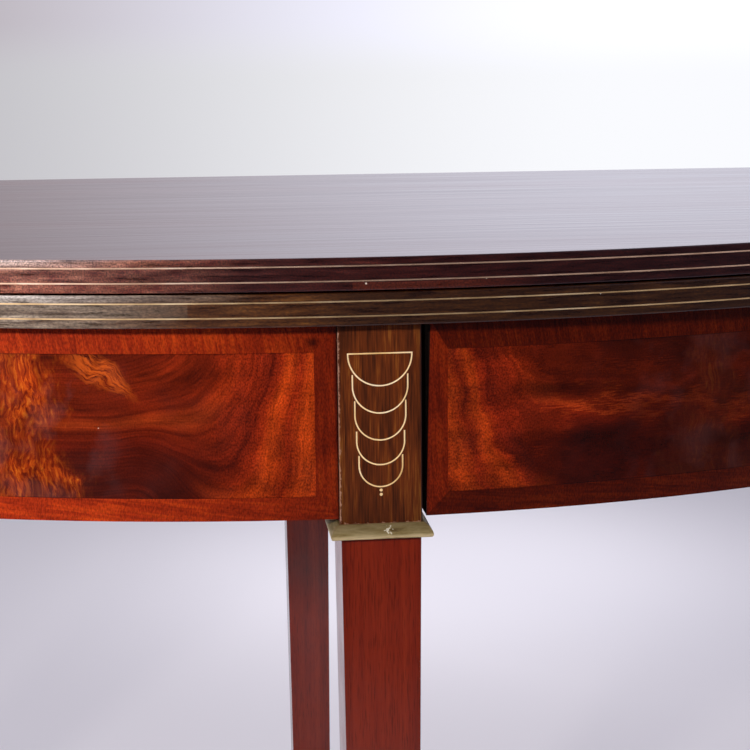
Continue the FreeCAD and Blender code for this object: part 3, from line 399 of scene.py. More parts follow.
# The right-hand sheets have level lenses of pale and dark figure.
for middle, half_sizes, gain in RIGHT_FIGURE:
    lens = add("Mapping", {
        "Vector": swayed, "Location": (*middle, SHEET_SHIFT), "Scale": (*half_sizes, SHEET_DEPTH)}, **SIZED)
    lens = add("VectorMath", {0: lens}, "Value", operation="LENGTH")
    lens = add("MapRange", {0: lens, 1: 0.2, 2: 1.25, 3: gain, 4: 1.0}, **EASED)
    colour = add("Mix", {0: 1.0, 6: colour, 7: lens}, 2, **STAIN)
# The feather: bright torn streaks up the middle of each sheet, greyer and fainter on the right.
curl = add("Mapping", {"Vector": sheet_place, "Scale": FIGURE["curl"]}, **SIZED)
curl = add("TexNoise", {"Vector": curl, "Scale": 1.0, "Detail": 5.0}, "Color")
curl = add("VectorMath", {0: curl, 1: NOISE_MEAN}, operation="SUBTRACT")
curl = add("VectorMath", {0: curl, 1: CURL}, operation="MULTIPLY")
curled = add("VectorMath", {0: sheet_place, 1: curl}, operation="ADD")
torn = add("Mapping", {"Vector": curled, "Scale": FIGURE["torn"]}, **SIZED)
torn = add("TexNoise", {"Vector": torn, "Scale": 1.0, "Detail": 6.0, "Roughness": 0.62, "Distortion": 0.5})
streak = add("ValToRGB", {0: torn}, stops=FEATHER_SHADES)
burnt = add("Mapping", {"Vector": curled, "Scale": FIGURE["burnt"]}, **SIZED)
burnt = add("TexNoise", {"Vector": burnt, "Scale": 1.0, "Detail": 4.0, "Roughness": 0.6})
burnt = add("MapRange", {0: burnt, 1: 0.36, 2: 0.62, 3: 0.5, 4: 1.2})
browned = add("MapRange", {0: below, 1: BROWN_START, 2: BROWN_END, 3: 1.0, 4: 0.72})
burnt = add("Math", {0: burnt, 1: browned}, operation="MULTIPLY")
streak = add("Mix", {0: 1.0, 6: streak, 7: burnt}, 2, **STAIN)
greyed = add("Math", {0: on_right, 1: 0.7}, operation="MULTIPLY")
streak = add("Mix", {0: greyed, 6: streak, 7: linear(FEATHER_GREY)}, 2, **COVER)
frayed = add("Mapping", {"Vector": curled, "Scale": FIGURE["fray"]}, **SIZED)
frayed = add("TexNoise", {"Vector": frayed, "Scale": 1.0, "Detail": 4.0, "Roughness": 0.6})
frayed = add("MapRange", {0: frayed, 1: 0.3, 2: 0.7, 3: FRAY_IN, 4: FRAY_OUT})
flare = add("MapRange", {0: below, 1: FLARE_START, 2: FLARE_END, 3: 0.0, 4: FLARE})
frayed = add("Math", {0: frayed, 1: flare}, operation="ADD")
frayed = add("Math", {0: off_feather, 1: frayed}, operation="SUBTRACT")
feather = add("MapRange", {0: frayed, 1: 1.0, 2: FEATHER_HALF, 3: 1.0, 4: 0.0}, **EASED)
patchy = add("Mapping", {"Vector": curled, "Location": PATCH_SHIFT, "Scale": FIGURE["patch"]}, **SIZED)
patchy = add("TexNoise", {"Vector": patchy, "Scale": 1.0, "Detail": 3.0})
patchy = add("MapRange", {0: patchy, 1: 0.38, 2: 0.54, 3: 0.45, 4: 1.0})
feather = add("Math", {0: feather, 1: patchy}, operation="MULTIPLY")
faint = add("MapRange", {0: on_right, 3: 1.0, 4: 0.5})
feather = add("Math", {0: feather, 1: faint}, operation="MULTIPLY")
colour = add("Mix", {0: feather, 6: colour, 7: streak}, 2, **COVER)
# A tongue of bright figure, wide at its top, runs down beside the feather on the left-hand sheets.
# Its own coordinates run from minus one to one along it and across it.
tongue = add("Mapping", {
    "Vector": curled, "Location": (*TONGUE_MIDDLE, -SHEET_SHIFT), "Rotation": (0.0, 0.0, TONGUE_TURN),
    "Scale": (*TONGUE_SIZE, SHEET_DEPTH)}, **SIZED)
tongue_run, tongue_side, tongue_sheet = add("SeparateXYZ", {0: tongue}).node.outputs
spread = add("MapRange", {0: tongue_run, 1: -1.0, 2: 1.0, 3: 0.45, 4: 1.8})
tongue_side = add("Math", {0: tongue_side, 1: spread}, operation="DIVIDE")
tongue_place = add("CombineXYZ", {0: tongue_run, 1: tongue_side, 2: tongue_sheet})
tongue = add("VectorMath", {0: tongue_place}, "Value", operation="LENGTH")
tongue = add("MapRange", {0: tongue, 1: 0.35, 2: 1.1, 3: 1.0, 4: 0.0}, **EASED)
licks = add("Mapping", {"Vector": tongue_place, "Scale": (2.4, 5.5, 1.0)})
licks = add("TexNoise", {"Vector": licks, "Scale": 1.0, "Detail": 5.0, "Roughness": 0.65})
licks = add("MapRange", {0: licks, 1: 0.4, 2: 0.56})
tongue = add("Math", {0: tongue, 1: licks}, operation="MULTIPLY")
colour = add("Mix", {0: tongue, 6: colour, 7: linear(TONGUE_SHADE)}, 2, **COVER)
# Away from the feather the left-hand sheets darken downward.
lower = add("MapRange", {0: below, 1: FOOT_START, 2: FOOT_END, 3: 1.03, 4: 0.76})
lower = add("Mix", {0: feather, 2: lower, 3: 0.92}, 0)
lower = add("Mix", {0: on_right, 2: lower, 3: 1.0}, 0)
colour = add("Mix", {0: 1.0, 6: colour, 7: lower}, 2, **STAIN)
# Bluish patches about the feather are partly old polish gone blue and partly a painted sheen, and a few
# pale specks have stuck in it.
hazed_sheen = add("Mapping", {"Vector": sheet_place, "Scale": FIGURE["haze_sheen"]}, **SIZED)
hazed_sheen = add("TexNoise", {"Vector": hazed_sheen, "Scale": 1.0, "Detail": 4.0})
hazed_sheen = add("MapRange", {0: hazed_sheen, 1: 0.5, 2: 0.66, 3: 0.0, 4: 0.055})
nearby = add("MapRange", {0: off_feather, 1: HAZE_SHEEN_START, 2: HAZE_SHEEN_END, 3: 1.0, 4: 0.1})
hazed_sheen = add("Math", {0: hazed_sheen, 1: nearby}, operation="MULTIPLY")
colour = add("Mix", {0: hazed_sheen, 6: colour, 7: linear(HAZE_SHEEN_SHADE)}, 2, **COVER)
speck = add("TexVoronoi", {"Vector": sheet_place, "Scale": 1 / SPECK_STEP})
speck = add("MapRange", {0: speck, 1: 0.009, 2: 0.015, 3: 0.8, 4: 0.0})
colour = add("Mix", {0: speck, 6: colour, 7: linear(SPECK_SHADE)}, 2, **COVER)
# The joint with the banding shows as a fine dark line.
to_top = add("Math", {0: FIELD_HIGH, 1: up}, operation="SUBTRACT")
to_foot = add("Math", {0: up, 1: FIELD_LOW}, operation="SUBTRACT")
to_joint = add("Math", {0: to_top, 1: to_foot}, operation="MINIMUM")
to_joint = add("MapRange", {0: to_joint, 1: 0.1, 2: JOINT_LINE, 3: 0.45, 4: 1.0})
# The right-hand sheets were cut from a darker part of the same log, and painted shade darkens the apron
# further toward its right end, away from the key lamp.
tone = add("MapRange", {0: on_right, 3: 1.0, 4: RIGHT_TONE})
right_end_shade = add("MapRange", {0: along, 1: RIGHT_SHADE_START, 2: RIGHT_SHADE_END, 3: 1.0, 4: 0.7})
for shade in (to_joint, tone, right_end_shade):
    colour = add("Mix", {0: 1.0, 6: colour, 7: shade}, 2, **STAIN)
bloom = add("Mapping", {"Vector": sheet_place, "Scale": FIGURE["bloom"]}, **SIZED)
bloom = add("TexNoise", {"Vector": bloom, "Scale": 1.0, "Detail": 4.0})
rough = add("MapRange", {0: bloom, 1: 0.35, 2: 0.7, 3: 0.14, 4: 0.26})
relief = add("Bump", {"Strength": 0.08, "Distance": 0.1 * MM, "Height": fire})
close_finish(add, {"Base Color": colour, "Roughness": rough, "Normal": relief,
                   "Specular IOR Level": 0.3})
dress(flame, "flame_veneer_left", "flame_veneer_right")


# Cross-banding: strips of plain mahogany that frame each flame field, mitred at the corners and
# glued down with it.  The ends stand upright, so their grain runs upright too.

BAND_SHADES = ((0.3, "#500F04"), (0.5, "#7E2107"), (0.7, "#A4370C"))
BAND_TICKS = (0.625, 1.0, 1.4286)
BAND_MOTTLE = 20.0
PAINTED_LIGHT_START, PAINTED_LIGHT_END = -60.0, -150.0
SHADOW_START, SHADOW_END = -55.0, -24.0
KNOT_MIDDLE = (-28.3, APRON_RADIUS, 718.0)
KNOT_SIZE = (3.8, 9.0, 2.8)
PANEL_START = 18.0
JOINT_SHADE = 1.6
# Strips: size of the grain, its slant in degrees, tones on the left and the right, and where they lie.
BANDS = {
    "banding_across": ((1.3333, 2.5, 16.667), 10.0, (1.04, 0.55), ("top",)),
    "banding_along": ((33.333, 2.5, 2.0), -6.0, (1.15, 0.55), ("bottom",)),
    "banding_upright": ((2.0, 2.5, 33.333), 3.0, (1.1, 1.06), ("front", "corner"))}


def banding(name, grain_size, slant, tones):
    """Plain mahogany strip, with the slant of its grain and the tones of the strips on each side."""
    made, add = new_finish(name)
    along, out, up = arc_place(add, APRON_RADIUS)
    strip = add("CombineXYZ", {0: along, 1: out, 2: up})
    slanted = add("Mapping", {"Vector": strip, "Rotation": (0.0, math.radians(slant), 0.0)})
    drawn = add("Mapping", {"Vector": slanted, "Scale": grain_size}, **SIZED)
    grain = add("TexNoise", {
        "Vector": drawn, "Scale": 1.0, "Detail": 5.0, "Roughness": 0.6, "Distortion": 0.4})
    mottle = add("TexNoise", {"Vector": strip, "Scale": 1 / BAND_MOTTLE, "Detail": 3.0})
    mixed = add("Mix", {0: 0.4, 2: grain, 3: mottle}, 0)
    colour = add("ValToRGB", {0: mixed}, stops=BAND_SHADES)
    # Painted light makes the left-hand strips paler away from the leg, and painted shade darkens the corner
    # beside it.
    painted_light = add("MapRange", {0: along, 1: PAINTED_LIGHT_START, 2: PAINTED_LIGHT_END, 3: 0.95, 4: 1.4})
    shadowed = add("MapRange", {0: along, 1: SHADOW_START, 2: SHADOW_END, 3: 1.0, 4: 0.66})
    side = add("Math", {0: along}, operation="SIGN")
    tone = add("MapRange", {0: side, 1: -1.0, 2: 1.0, 3: tones[0], 4: tones[1]})
    tick_place = add("Mapping", {"Vector": slanted, "Scale": BAND_TICKS}, **SIZED)
    ticks = add("TexNoise", {"Vector": tick_place, "Scale": 1.0, "Detail": 3.0})
    ticked = add("MapRange", {0: ticks, 1: 0.38, 2: 0.64, 3: 1.25, 4: 0.66})
    # One small dark knot sits in the corner beside the front leg, and painted shade darkens the joint
    # against the leg.
    knot = add("Mapping", {"Vector": strip, "Location": KNOT_MIDDLE, "Scale": KNOT_SIZE}, **SIZED)
    knot = add("VectorMath", {0: knot}, "Value", operation="LENGTH")
    knotted = add("MapRange", {0: knot, 1: 0.1, 2: 1.1, 3: 0.3, 4: 1.0}, **EASED)
    reach = add("Math", {0: along}, operation="ABSOLUTE")
    dirt_and_shade = add("MapRange", {0: reach, 1: PANEL_START, 2: PANEL_START + JOINT_SHADE, 3: 0.3, 4: 1.0})
    for shade in (painted_light, shadowed, tone, ticked, knotted, dirt_and_shade):
        colour = add("Mix", {0: 1.0, 6: colour, 7: shade}, 2, **STAIN)
    relief = add("Bump", {"Strength": 0.1, "Distance": 0.1 * MM, "Height": ticks})
    close_finish(add, {"Base Color": colour, "Roughness": 0.22, "Normal": relief,
                       "Specular IOR Level": 0.3})
    return made


for name, (grain_size, slant, tones, places) in BANDS.items():
    strips = [f"crossband_{place}_{side}" for place in places for side in ("left", "right")]
    dress(banding(name, grain_size, slant, tones), *strips)


# Facings: thin boards of rosewood on the outer faces of the three fixed heads, glued over the legs'
# mahogany.  One upright arris of each and its foot are rubbed and chipped to the pale bare wood; the
# pale arris is partly a painted highlight where the key lamp catches it.

ROSEWOOD_SHADES = ((0.12, "#1C0904"), (0.4, "#471F0B"), (0.62, "#602B0E"), (0.9, "#86501E"))
ROSEWOOD_BANDS = (6.25, 6.25, 83.333)
ROSEWOOD_STREAKS = (0.66667, 0.66667, 14.286)
BARE_ARRIS_AND_GLINT = "#94705E"
CHIP = 1.81818
ARRIS_WEAR, FOOT_WEAR = 1.1, 1.5
HEAD_HALF = 17.75
EDGE_SHADE = 4.0
FACING_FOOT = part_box("facing_front")[0].z / MM
FOOT_DARK_START, FOOT_DARK_END = 2.0, 24.0


def rosewood(name, middle, turn):
    """Rosewood about a head's own axis: upright streaks, a worn arris with a painted highlight, a darker
    foot.
    """
    made, add = new_finish(name)
    local = add("Mapping", {
        "Vector": object_place(add), "Location": middle, "Rotation": (0, 0, turn)}, **SIZED)
    x, _, z = add("SeparateXYZ", {0: local}).node.outputs
    streaks, figure = straight_grain(
        add, local, ROSEWOOD_BANDS, ROSEWOOD_STREAKS, wander=0.8, detail=3.0, share=0.5)
    figure = add("MapRange", {0: figure, 1: 0.28, 2: 0.72})
    colour = add("ValToRGB", {0: figure}, stops=ROSEWOOD_SHADES)
    # The sides and the foot are darker.
    off = add("Math", {0: x}, operation="ABSOLUTE")
    inward = add("Math", {0: HEAD_HALF, 1: off}, operation="SUBTRACT")
    edged = add("MapRange", {0: inward, 1: 0.0, 2: EDGE_SHADE, 3: 0.7, 4: 1.05})
    above = add("Math", {0: z, 1: FACING_FOOT}, operation="SUBTRACT")
    darker_foot = add("MapRange", {0: above, 1: FOOT_DARK_START, 2: FOOT_DARK_END, 3: 0.74, 4: 1.08})
    for shade in (edged, darker_foot):
        colour = add("Mix", {0: 1.0, 6: colour, 7: shade}, 2, **STAIN)
    # Chips of bare wood run up one arris and along the foot; the pale arris, on the side toward the key
    # lamp, is partly a painted highlight.
    chip = add("TexNoise", {"Vector": local, "Scale": 1 / CHIP, "Detail": 4.0, "Roughness": 0.7})
    ragged = add("MapRange", {0: chip, 1: 0.38, 2: 0.68, 3: -0.2, 4: ARRIS_WEAR})
    from_arris = add("Math", {0: HEAD_HALF, 1: x}, operation="ADD")
    from_arris = add("Math", {0: from_arris, 1: ragged}, operation="SUBTRACT")
    bare_and_glint = add("MapRange", {0: from_arris, 1: -0.12, 2: 0.12, 3: 0.85, 4: 0.0})
    nibbled = add("MapRange", {0: chip, 1: 0.5, 2: 0.75, 3: 0.0, 4: FOOT_WEAR})
    from_foot = add("Math", {0: above, 1: nibbled}, operation="SUBTRACT")
    bare_foot = add("MapRange", {0: from_foot, 1: -0.1, 2: 0.1, 3: 0.8, 4: 0.0})
    bare_and_glint = add("Math", {0: bare_and_glint, 1: bare_foot}, operation="MAXIMUM")
    colour = add("Mix", {0: bare_and_glint, 6: colour, 7: linear(BARE_ARRIS_AND_GLINT)}, 2, **COVER)
    relief = add("Bump", {"Strength": 0.15, "Distance": 0.1 * MM, "Height": streaks})
    close_finish(add, {"Base Color": colour, "Roughness": 0.3, "Normal": relief,
                       "Specular IOR Level": 0.25})
    return made


for name, turn in (("front", 0.0), ("left", -math.pi / 2), ("right", math.pi / 2)):
    low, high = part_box("leg_" + name)
    middle = ((low.x + high.x) / 2 / MM, (low.y + high.y) / 2 / MM, 0.0)
    dress(rosewood("rosewood_" + name, middle, turn), "facing_" + name)


# Brass stringing: drawn wire let into the leaves' curved edges and into the facings, where it makes
# a crescent, four swags and two dots.  It is filed flush; on the leaves a painted highlight brightens
# it toward the ends, and it is darker in mid front.

TOP_RADIUS = 600.0
UPPER_STRING_SHADES = ((0.3, "#A98872"), (0.55, "#CDAC96"), (0.8, "#E6D2C2"))
LOWER_STRING_SHADES = ((0.3, "#A08058"), (0.55, "#CCAE84"), (0.8, "#EAD8B8"))
MOTIF_SHADES = ((0.3, "#E4BC7A"), (0.5, "#FFDFA8"), (0.75, "#FFF0D4"))
STRING_METAL, MOTIF_METAL = 0.35, 0.1
STRING_MIDDLE_TONE, MOTIF_MIDDLE_TONE = 0.58, 1.0
END_HIGHLIGHT_START, END_HIGHLIGHT_END = 20.0, 150.0
TARNISH_BLOTCH = 16.6667
WIRE_SCUFF = 1.11111


def wire(name, shades, metallic, middle_tone):
    """Drawn brass wire, blotched with tarnish and scuffed, with its own tone in mid front and a painted
    highlight toward the ends.
    """
    made, add = new_finish(name)
    place = object_place(add)
    tarnish = add("TexNoise", {"Vector": place, "Scale": 1 / TARNISH_BLOTCH, "Detail": 5.0})
    colour = add("ValToRGB", {0: tarnish}, stops=shades)
    # Painted highlight: the wire is brighter toward both ends of the front and darker in mid front.
    reach = add("Math", {0: arc_place(add, TOP_RADIUS)[0]}, operation="ABSOLUTE")
    painted_end_highlight = add("MapRange", {0: reach, 1: END_HIGHLIGHT_START, 2: END_HIGHLIGHT_END, 3: middle_tone, 4: 1.2})
    colour = add("Mix", {0: 1.0, 6: colour, 7: painted_end_highlight}, 2, **STAIN)
    scuffs = add("TexNoise", {"Vector": place, "Scale": 1 / WIRE_SCUFF})
    rough = add("MapRange", {0: scuffs, 1: 0.3, 2: 0.7, 3: 0.4, 4: 0.6})
    relief = add("Bump", {"Strength": 0.2, "Distance": 0.05 * MM, "Height": scuffs})
    close_finish(add, {"Base Color": colour, "Metallic": metallic, "Roughness": rough,
                       "Normal": relief})
    return made


dress(wire("dulled_brass_string", UPPER_STRING_SHADES, STRING_METAL, STRING_MIDDLE_TONE),
      "upper_leaf_string_low", "upper_leaf_string_high")
dress(wire("yellowed_brass_string", LOWER_STRING_SHADES, STRING_METAL, STRING_MIDDLE_TONE),
      "lower_leaf_string_low", "lower_leaf_string_high")
dress(wire("filed_brass_inlay", MOTIF_SHADES, MOTIF_METAL, MOTIF_MIDDLE_TONE),
      "brass_motif_front", "brass_motif_left", "brass_motif_right")


# Collars: square rings of cast brass with mitred corners, swelled in section and pushed up the legs
# to the heads.  They are dull and olive with old polish, with a few flecks of paint in front.

COLLAR_SHADES = ((0.3, "#6E5836"), (0.45, "#A08C5C"), (0.6, "#BCA878"), (0.8, "#DEC894"))
COLLAR_BLOTCH = (14.286, 14.286, 2.38095)
COLLAR_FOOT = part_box("collar_front")[0] / MM
NOSE_HIGHLIGHT_SHADE = "#EBD6A6"
NOSE = COLLAR_FOOT.z + 1.2
NOSE_THIN, NOSE_WIDE = 0.35, 1.0
PAINT = "#D8D2BE"
PAINT_SPOT = (2.8, COLLAR_FOOT.y + 1.5, 637.0)
PAINT_REACH = 2.6
PAINT_SPLASH = 1.11111

collar_brass, add = new_finish("tarnished_cast_brass")
place = object_place(add)
drawn = add("Mapping", {"Vector": place, "Scale": COLLAR_BLOTCH}, **SIZED)
tarnish = add("TexNoise", {"Vector": drawn, "Scale": 1.0, "Detail": 5.0, "Roughness": 0.62})
colour = add("ValToRGB", {0: tarnish}, stops=COLLAR_SHADES)
# The swelled nose is paler: partly rubbed brass, partly a painted highlight along it.
height = add("SeparateXYZ", {0: place}, "Z")
nose = add("Math", {0: height, 1: NOSE}, operation="SUBTRACT")
nose = add("Math", {0: nose}, operation="ABSOLUTE")
nose_band_width = add("MapRange", {0: tarnish, 1: 0.35, 2: 0.65, 3: NOSE_THIN, 4: NOSE_WIDE})
nose = add("Math", {0: nose, 1: nose_band_width}, operation="SUBTRACT")
nose = add("MapRange", {0: nose, 1: -0.4, 2: 0.5, 3: 0.8, 4: 0.0})
colour = add("Mix", {0: nose, 6: colour, 7: linear(NOSE_HIGHLIGHT_SHADE)}, 2, **COVER)
off = add("VectorMath", {0: place, 1: PAINT_SPOT}, "Value", operation="DISTANCE")
splash = add("TexNoise", {"Vector": place, "Scale": 1 / PAINT_SPLASH})
ragged = add("MapRange", {0: splash, 1: 0.42, 2: 0.62, 3: 0.0, 4: PAINT_REACH})
inside = add("Math", {0: ragged, 1: off}, operation="SUBTRACT")
fleck = add("MapRange", {0: inside, 1: 0.0, 2: 0.25, 3: 0.0, 4: 0.9})
colour = add("Mix", {0: fleck, 6: colour, 7: linear(PAINT)}, 2, **COVER)
metal = add("MapRange", {0: fleck, 3: 0.75, 4: 0.0})
rough = add("MapRange", {0: tarnish, 1: 0.3, 2: 0.7, 3: 0.55, 4: 0.36})
relief = add("Bump", {"Strength": 0.5, "Distance": 0.2 * MM, "Height": tarnish})
close_finish(add, {"Base Color": colour, "Metallic": metal, "Roughness": rough, "Normal": relief})
dress(collar_brass, "collar_front", "collar_left", "collar_right", "collar_swing")


# Leaves: two half-round boards of mahogany, one folded over the other.  Their faces are French
# polished; their curved edges are rubbed, patched and browned by handling, with painted shade
# toward the right and a painted highlight at the left end.

LEAF_SHADES = ((0.2, "#2C0E08"), (0.45, "#46180D"), (0.65, "#572112"), (0.9, "#70341E"))
LEAF_BANDS = (625.0, 38.462, 38.462)
LEAF_STREAKS = (200.0, 4.16667, 4.16667)
LEAF_SHEEN = "#F4EAFF"
EDGE_START, EDGE_FULL = 598.6, 599.2
EDGE_GRAIN = (22.2222, 3.33333, 1.66667)
EDGE_SPECK = (1.25, 0.714286)
CHIP_SHADE = "#D8CCC0"
CHIP_STEP = 13.3333
HIGHLIGHT_END = -155.0
ARRIS_START, ARRIS_FULL = 8.5, 13.0
FOOT_ARRIS, FOOT_ARRIS_END = 2.5, 4.5
# The look of each edge.  Places along it are in millimetres from the middle of the front, and heights
# from the foot of the leaf.  painted_shade: start, end and tone of painted shade; specks: length,
# darkest and palest tone; patch: start, end, run-out, foot, top, strength and colour.
UPPER_EDGE = {
    "rim": ((0.28, "#170402"), (0.45, "#290904"), (0.6, "#3A1007"), (0.8, "#5A2212")),
    "painted_shade": (-5.0, 70.0, 0.66),
    "highlight_shades": ((0.38, "#843622"), (0.62, "#C27C60")), "painted_highlight": "#DCC2B8",
    "body_highlight": 0.55, "middle_highlight_start": -56.0, "arris_highlight_start": -45.0, "whitest_start": -100.0,
    "specks": (0.7, 0.4, 1.55), "blotch": (11.0, 3.0, 4.0),
    "patch": (-12.0, 66.0, 30.0, 0.0, 3.4, 0.28, "#6E2E18")}
LOWER_EDGE = {
    "rim": ((0.28, "#1C0C02"), (0.45, "#391D06"), (0.6, "#563109"), (0.8, "#7E5216")),
    "painted_shade": (-34.0, -10.0, 0.5),
    "highlight_shades": ((0.38, "#5A4C3E"), (0.62, "#B0A290")), "painted_highlight": "#BCB6B0",
    "body_highlight": 0.82, "middle_highlight_start": -82.0, "arris_highlight_start": -50.0, "whitest_start": -50.0,
    "specks": (1.6, 0.64, 1.36), "blotch": (26.0, 3.0, 2.4),
    "patch": (-600.0, -80.0, 0.2, 3.9, 9.7, 0.22, "#6A655A")}


def leaf_finish(name, foot, look):
    """Polished mahogany board with the grain along its straight edge and a browned curved edge."""
    made, add = new_finish(name)
    along, out, up = arc_place(add, TOP_RADIUS)
    streaks, figure = straight_grain(
        add, object_place(add), LEAF_BANDS, LEAF_STREAKS, wander=0.7, detail=4.0, share=0.45)
    colour = add("ValToRGB", {0: figure}, stops=LEAF_SHADES)
    # Along the curve the grain turns from long to end grain, so the edge is streaked and speckled.
    rim = add("CombineXYZ", {0: along, 1: out, 2: up})
    rim_place = add("Mapping", {"Vector": rim, "Scale": EDGE_GRAIN}, **SIZED)
    rim_grain = add("TexNoise", {"Vector": rim_place, "Scale": 1.0, "Detail": 6.0, "Roughness": 0.66})
    rim_colour = add("ValToRGB", {0: rim_grain}, stops=look["rim"])
    # Painted shade darkens each edge toward the right.
    painted_shade_start, painted_shade_end, painted_shade = look["painted_shade"]
    edge_painted_shade = add("MapRange", {0: along, 1: painted_shade_start, 2: painted_shade_end, 3: 1.0, 4: painted_shade})
    rim_colour = add("Mix", {0: 1.0, 6: rim_colour, 7: edge_painted_shade}, 2, **STAIN)
    # A strip of other wood is pieced into the edge.
    start, end, run_out, patch_foot, patch_top, weight, shade = look["patch"]
    above = add("Math", {0: up, 1: foot}, operation="SUBTRACT")
    pieced = add("MapRange", {0: along, 1: end - run_out, 2: end, 3: weight, 4: 0.0})
    for measure, limit, test in ((along, start, "GREATER_THAN"), (above, patch_foot, "GREATER_THAN"),
                                 (above, patch_top, "LESS_THAN")):
        inside = add("Math", {0: measure, 1: limit}, operation=test)
        pieced = add("Math", {0: pieced, 1: inside}, operation="MULTIPLY")
    rim_colour = add("Mix", {0: pieced, 6: rim_colour, 7: linear(shade)}, 2, **COVER)
    # The left end is paler, most of all along its arrises: partly dry, sun-bleached wood and mostly a
    # painted highlight, the sheen of the key lamp.
    arris = add("MapRange", {0: above, 1: ARRIS_START, 2: ARRIS_FULL}, **EASED)
    highlight_by_height = add("MapRange", {0: above, 1: FOOT_ARRIS, 2: FOOT_ARRIS_END, 3: 0.9, 4: look["body_highlight"]})
    middle_highlight = add("MapRange", {0: along, 1: look["middle_highlight_start"], 2: HIGHLIGHT_END})
    middle_highlight = add("Math", {0: middle_highlight, 1: highlight_by_height}, operation="MULTIPLY")
    arris_highlight = add("MapRange", {0: along, 1: look["arris_highlight_start"], 2: HIGHLIGHT_END, 3: 0.0, 4: 0.95})
    painted_light = add("Mix", {0: arris, 2: middle_highlight, 3: arris_highlight}, 0)
    grain_break = add("MapRange", {0: rim_grain, 1: 0.34, 2: 0.62, 3: 0.2, 4: 1.2})
    painted_light = add("Math", {0: painted_light, 1: grain_break}, operation="MULTIPLY", use_clamp=True)
    blotch = add("Mapping", {"Vector": rim, "Scale": look["blotch"]}, **SIZED)
    blotch = add("TexNoise", {"Vector": blotch, "Scale": 1.0, "Detail": 4.0, "Roughness": 0.6})
    painted_highlight = add("ValToRGB", {0: blotch}, stops=look["highlight_shades"])
    white = add("MapRange", {0: along, 1: look["whitest_start"], 2: HIGHLIGHT_END})
    white = add("Math", {0: white, 1: arris}, operation="MULTIPLY")
    painted_highlight = add("Mix", {0: white, 6: painted_highlight, 7: linear(look["painted_highlight"])}, 2, **COVER)
    rim_colour = add("Mix", {0: painted_light, 6: rim_colour, 7: painted_highlight}, 2, **COVER)
    # Open pores speckle the whole edge.  They are drawn wide enough to show.
    speck_length, darkest, palest = look["specks"]
    specks = add("Mapping", {"Vector": rim, "Scale": (speck_length, *EDGE_SPECK)}, **SIZED)
    specks = add("TexNoise", {"Vector": specks, "Scale": 1.0, "Detail": 3.0, "Roughness": 0.6})
    speckled = add("MapRange", {0: specks, 1: 0.38, 2: 0.62, 3: darkest, 4: palest})
    rim_colour = add("Mix", {0: 1.0, 6: rim_colour, 7: speckled}, 2, **STAIN)
    # A few small chips show pale.
    chip = add("TexVoronoi", {"Vector": rim, "Scale": 1 / CHIP_STEP})
    chipped = add("MapRange", {0: chip, 1: 0.026, 2: 0.036, 3: 0.85, 4: 0.0})
    rim_colour = add("Mix", {0: chipped, 6: rim_colour, 7: linear(CHIP_SHADE)}, 2, **COVER)
    is_rim = add("MapRange", {0: out, 1: EDGE_START, 2: EDGE_FULL})
    colour = add("Mix", {0: is_rim, 6: colour, 7: rim_colour}, 2, **COVER)
    rough = add("MapRange", {0: streaks, 1: 0.3, 2: 0.7, 3: 0.15, 4: 0.21})
    rim_rough = add("MapRange", {0: rim_grain, 1: 0.3, 2: 0.7, 3: 0.22, 4: 0.42})
    rough = add("Mix", {0: is_rim, 2: rough, 3: rim_rough}, 0)
    height = add("Mix", {0: is_rim, 2: streaks, 3: specks}, 0)
    relief = add("Bump", {"Strength": 0.03, "Distance": 0.08 * MM, "Height": height})
    close_finish(add, {"Base Color": colour, "Roughness": rough, "Normal": relief,
                       "Specular IOR Level": 0.58, "Specular Tint": linear(LEAF_SHEEN)})
    return made


for leaf, look in (("upper_leaf", UPPER_EDGE), ("lower_leaf", LOWER_EDGE)):
    dress(leaf_finish(leaf + "_mahogany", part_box(leaf)[0].z / MM, look), leaf)


# Hinges: brass butts let into the back edges of the leaves, each pair turning on a brass pin and
# held by three slotted screws to a plate.

HINGE_BRASS = {
    "shades": ((0.3, "#7A6236"), (0.5, "#A1844C"), (0.75, "#BFA166")), "blotch": 4.1667, "detail": 5.0,
    "metallic": 1.0, "wear": (0.3, 0.7, 0.5, 0.3), "pits": (0.2, 0.05)}
# Steel screws are grey and spotted with rust.
SCREW_STEEL = {
    "shades": ((0.35, "#5A5651"), (0.6, "#6E6359"), (0.8, "#7A5A40")), "blotch": 1.4286, "detail": 4.0,
    "metallic": 0.95, "wear": (0.35, 0.7, 0.35, 0.65), "pits": (0.3, 0.06)}

hinge_brass = aged_metal("worn_hinge_brass", **HINGE_BRASS)
dress(hinge_brass, "lower_leaf_hinge_left", "lower_leaf_hinge_right", "upper_leaf_hinge_left",
      "upper_leaf_hinge_right", "hinge_pin_left", "hinge_pin_right")
screw_steel = aged_metal("aged_screw_steel", **SCREW_STEEL)
dress(screw_steel, "top_screws", "lower_leaf_hinge_screws", "upper_leaf_hinge_screws")

SCREW_HEAD = 2.4 * MM
SCREW_SHANK = 1.3 * MM
SCREW_TIP = 0.4 * MM
SHANK_LENGTH = 9.8 * MM
POINT_LENGTH = 3.1 * MM
HEAD_HEIGHT = 1.1 * MM
HEAD_SIDES = 28
SLOT_WIDTH = 0.7 * MM
SLOT_DEPTH = 0.6 * MM
SLOT_TURN = 2.4
HINGE_X = 380.0 * MM
SCREW_STEP = 19.0 * MM


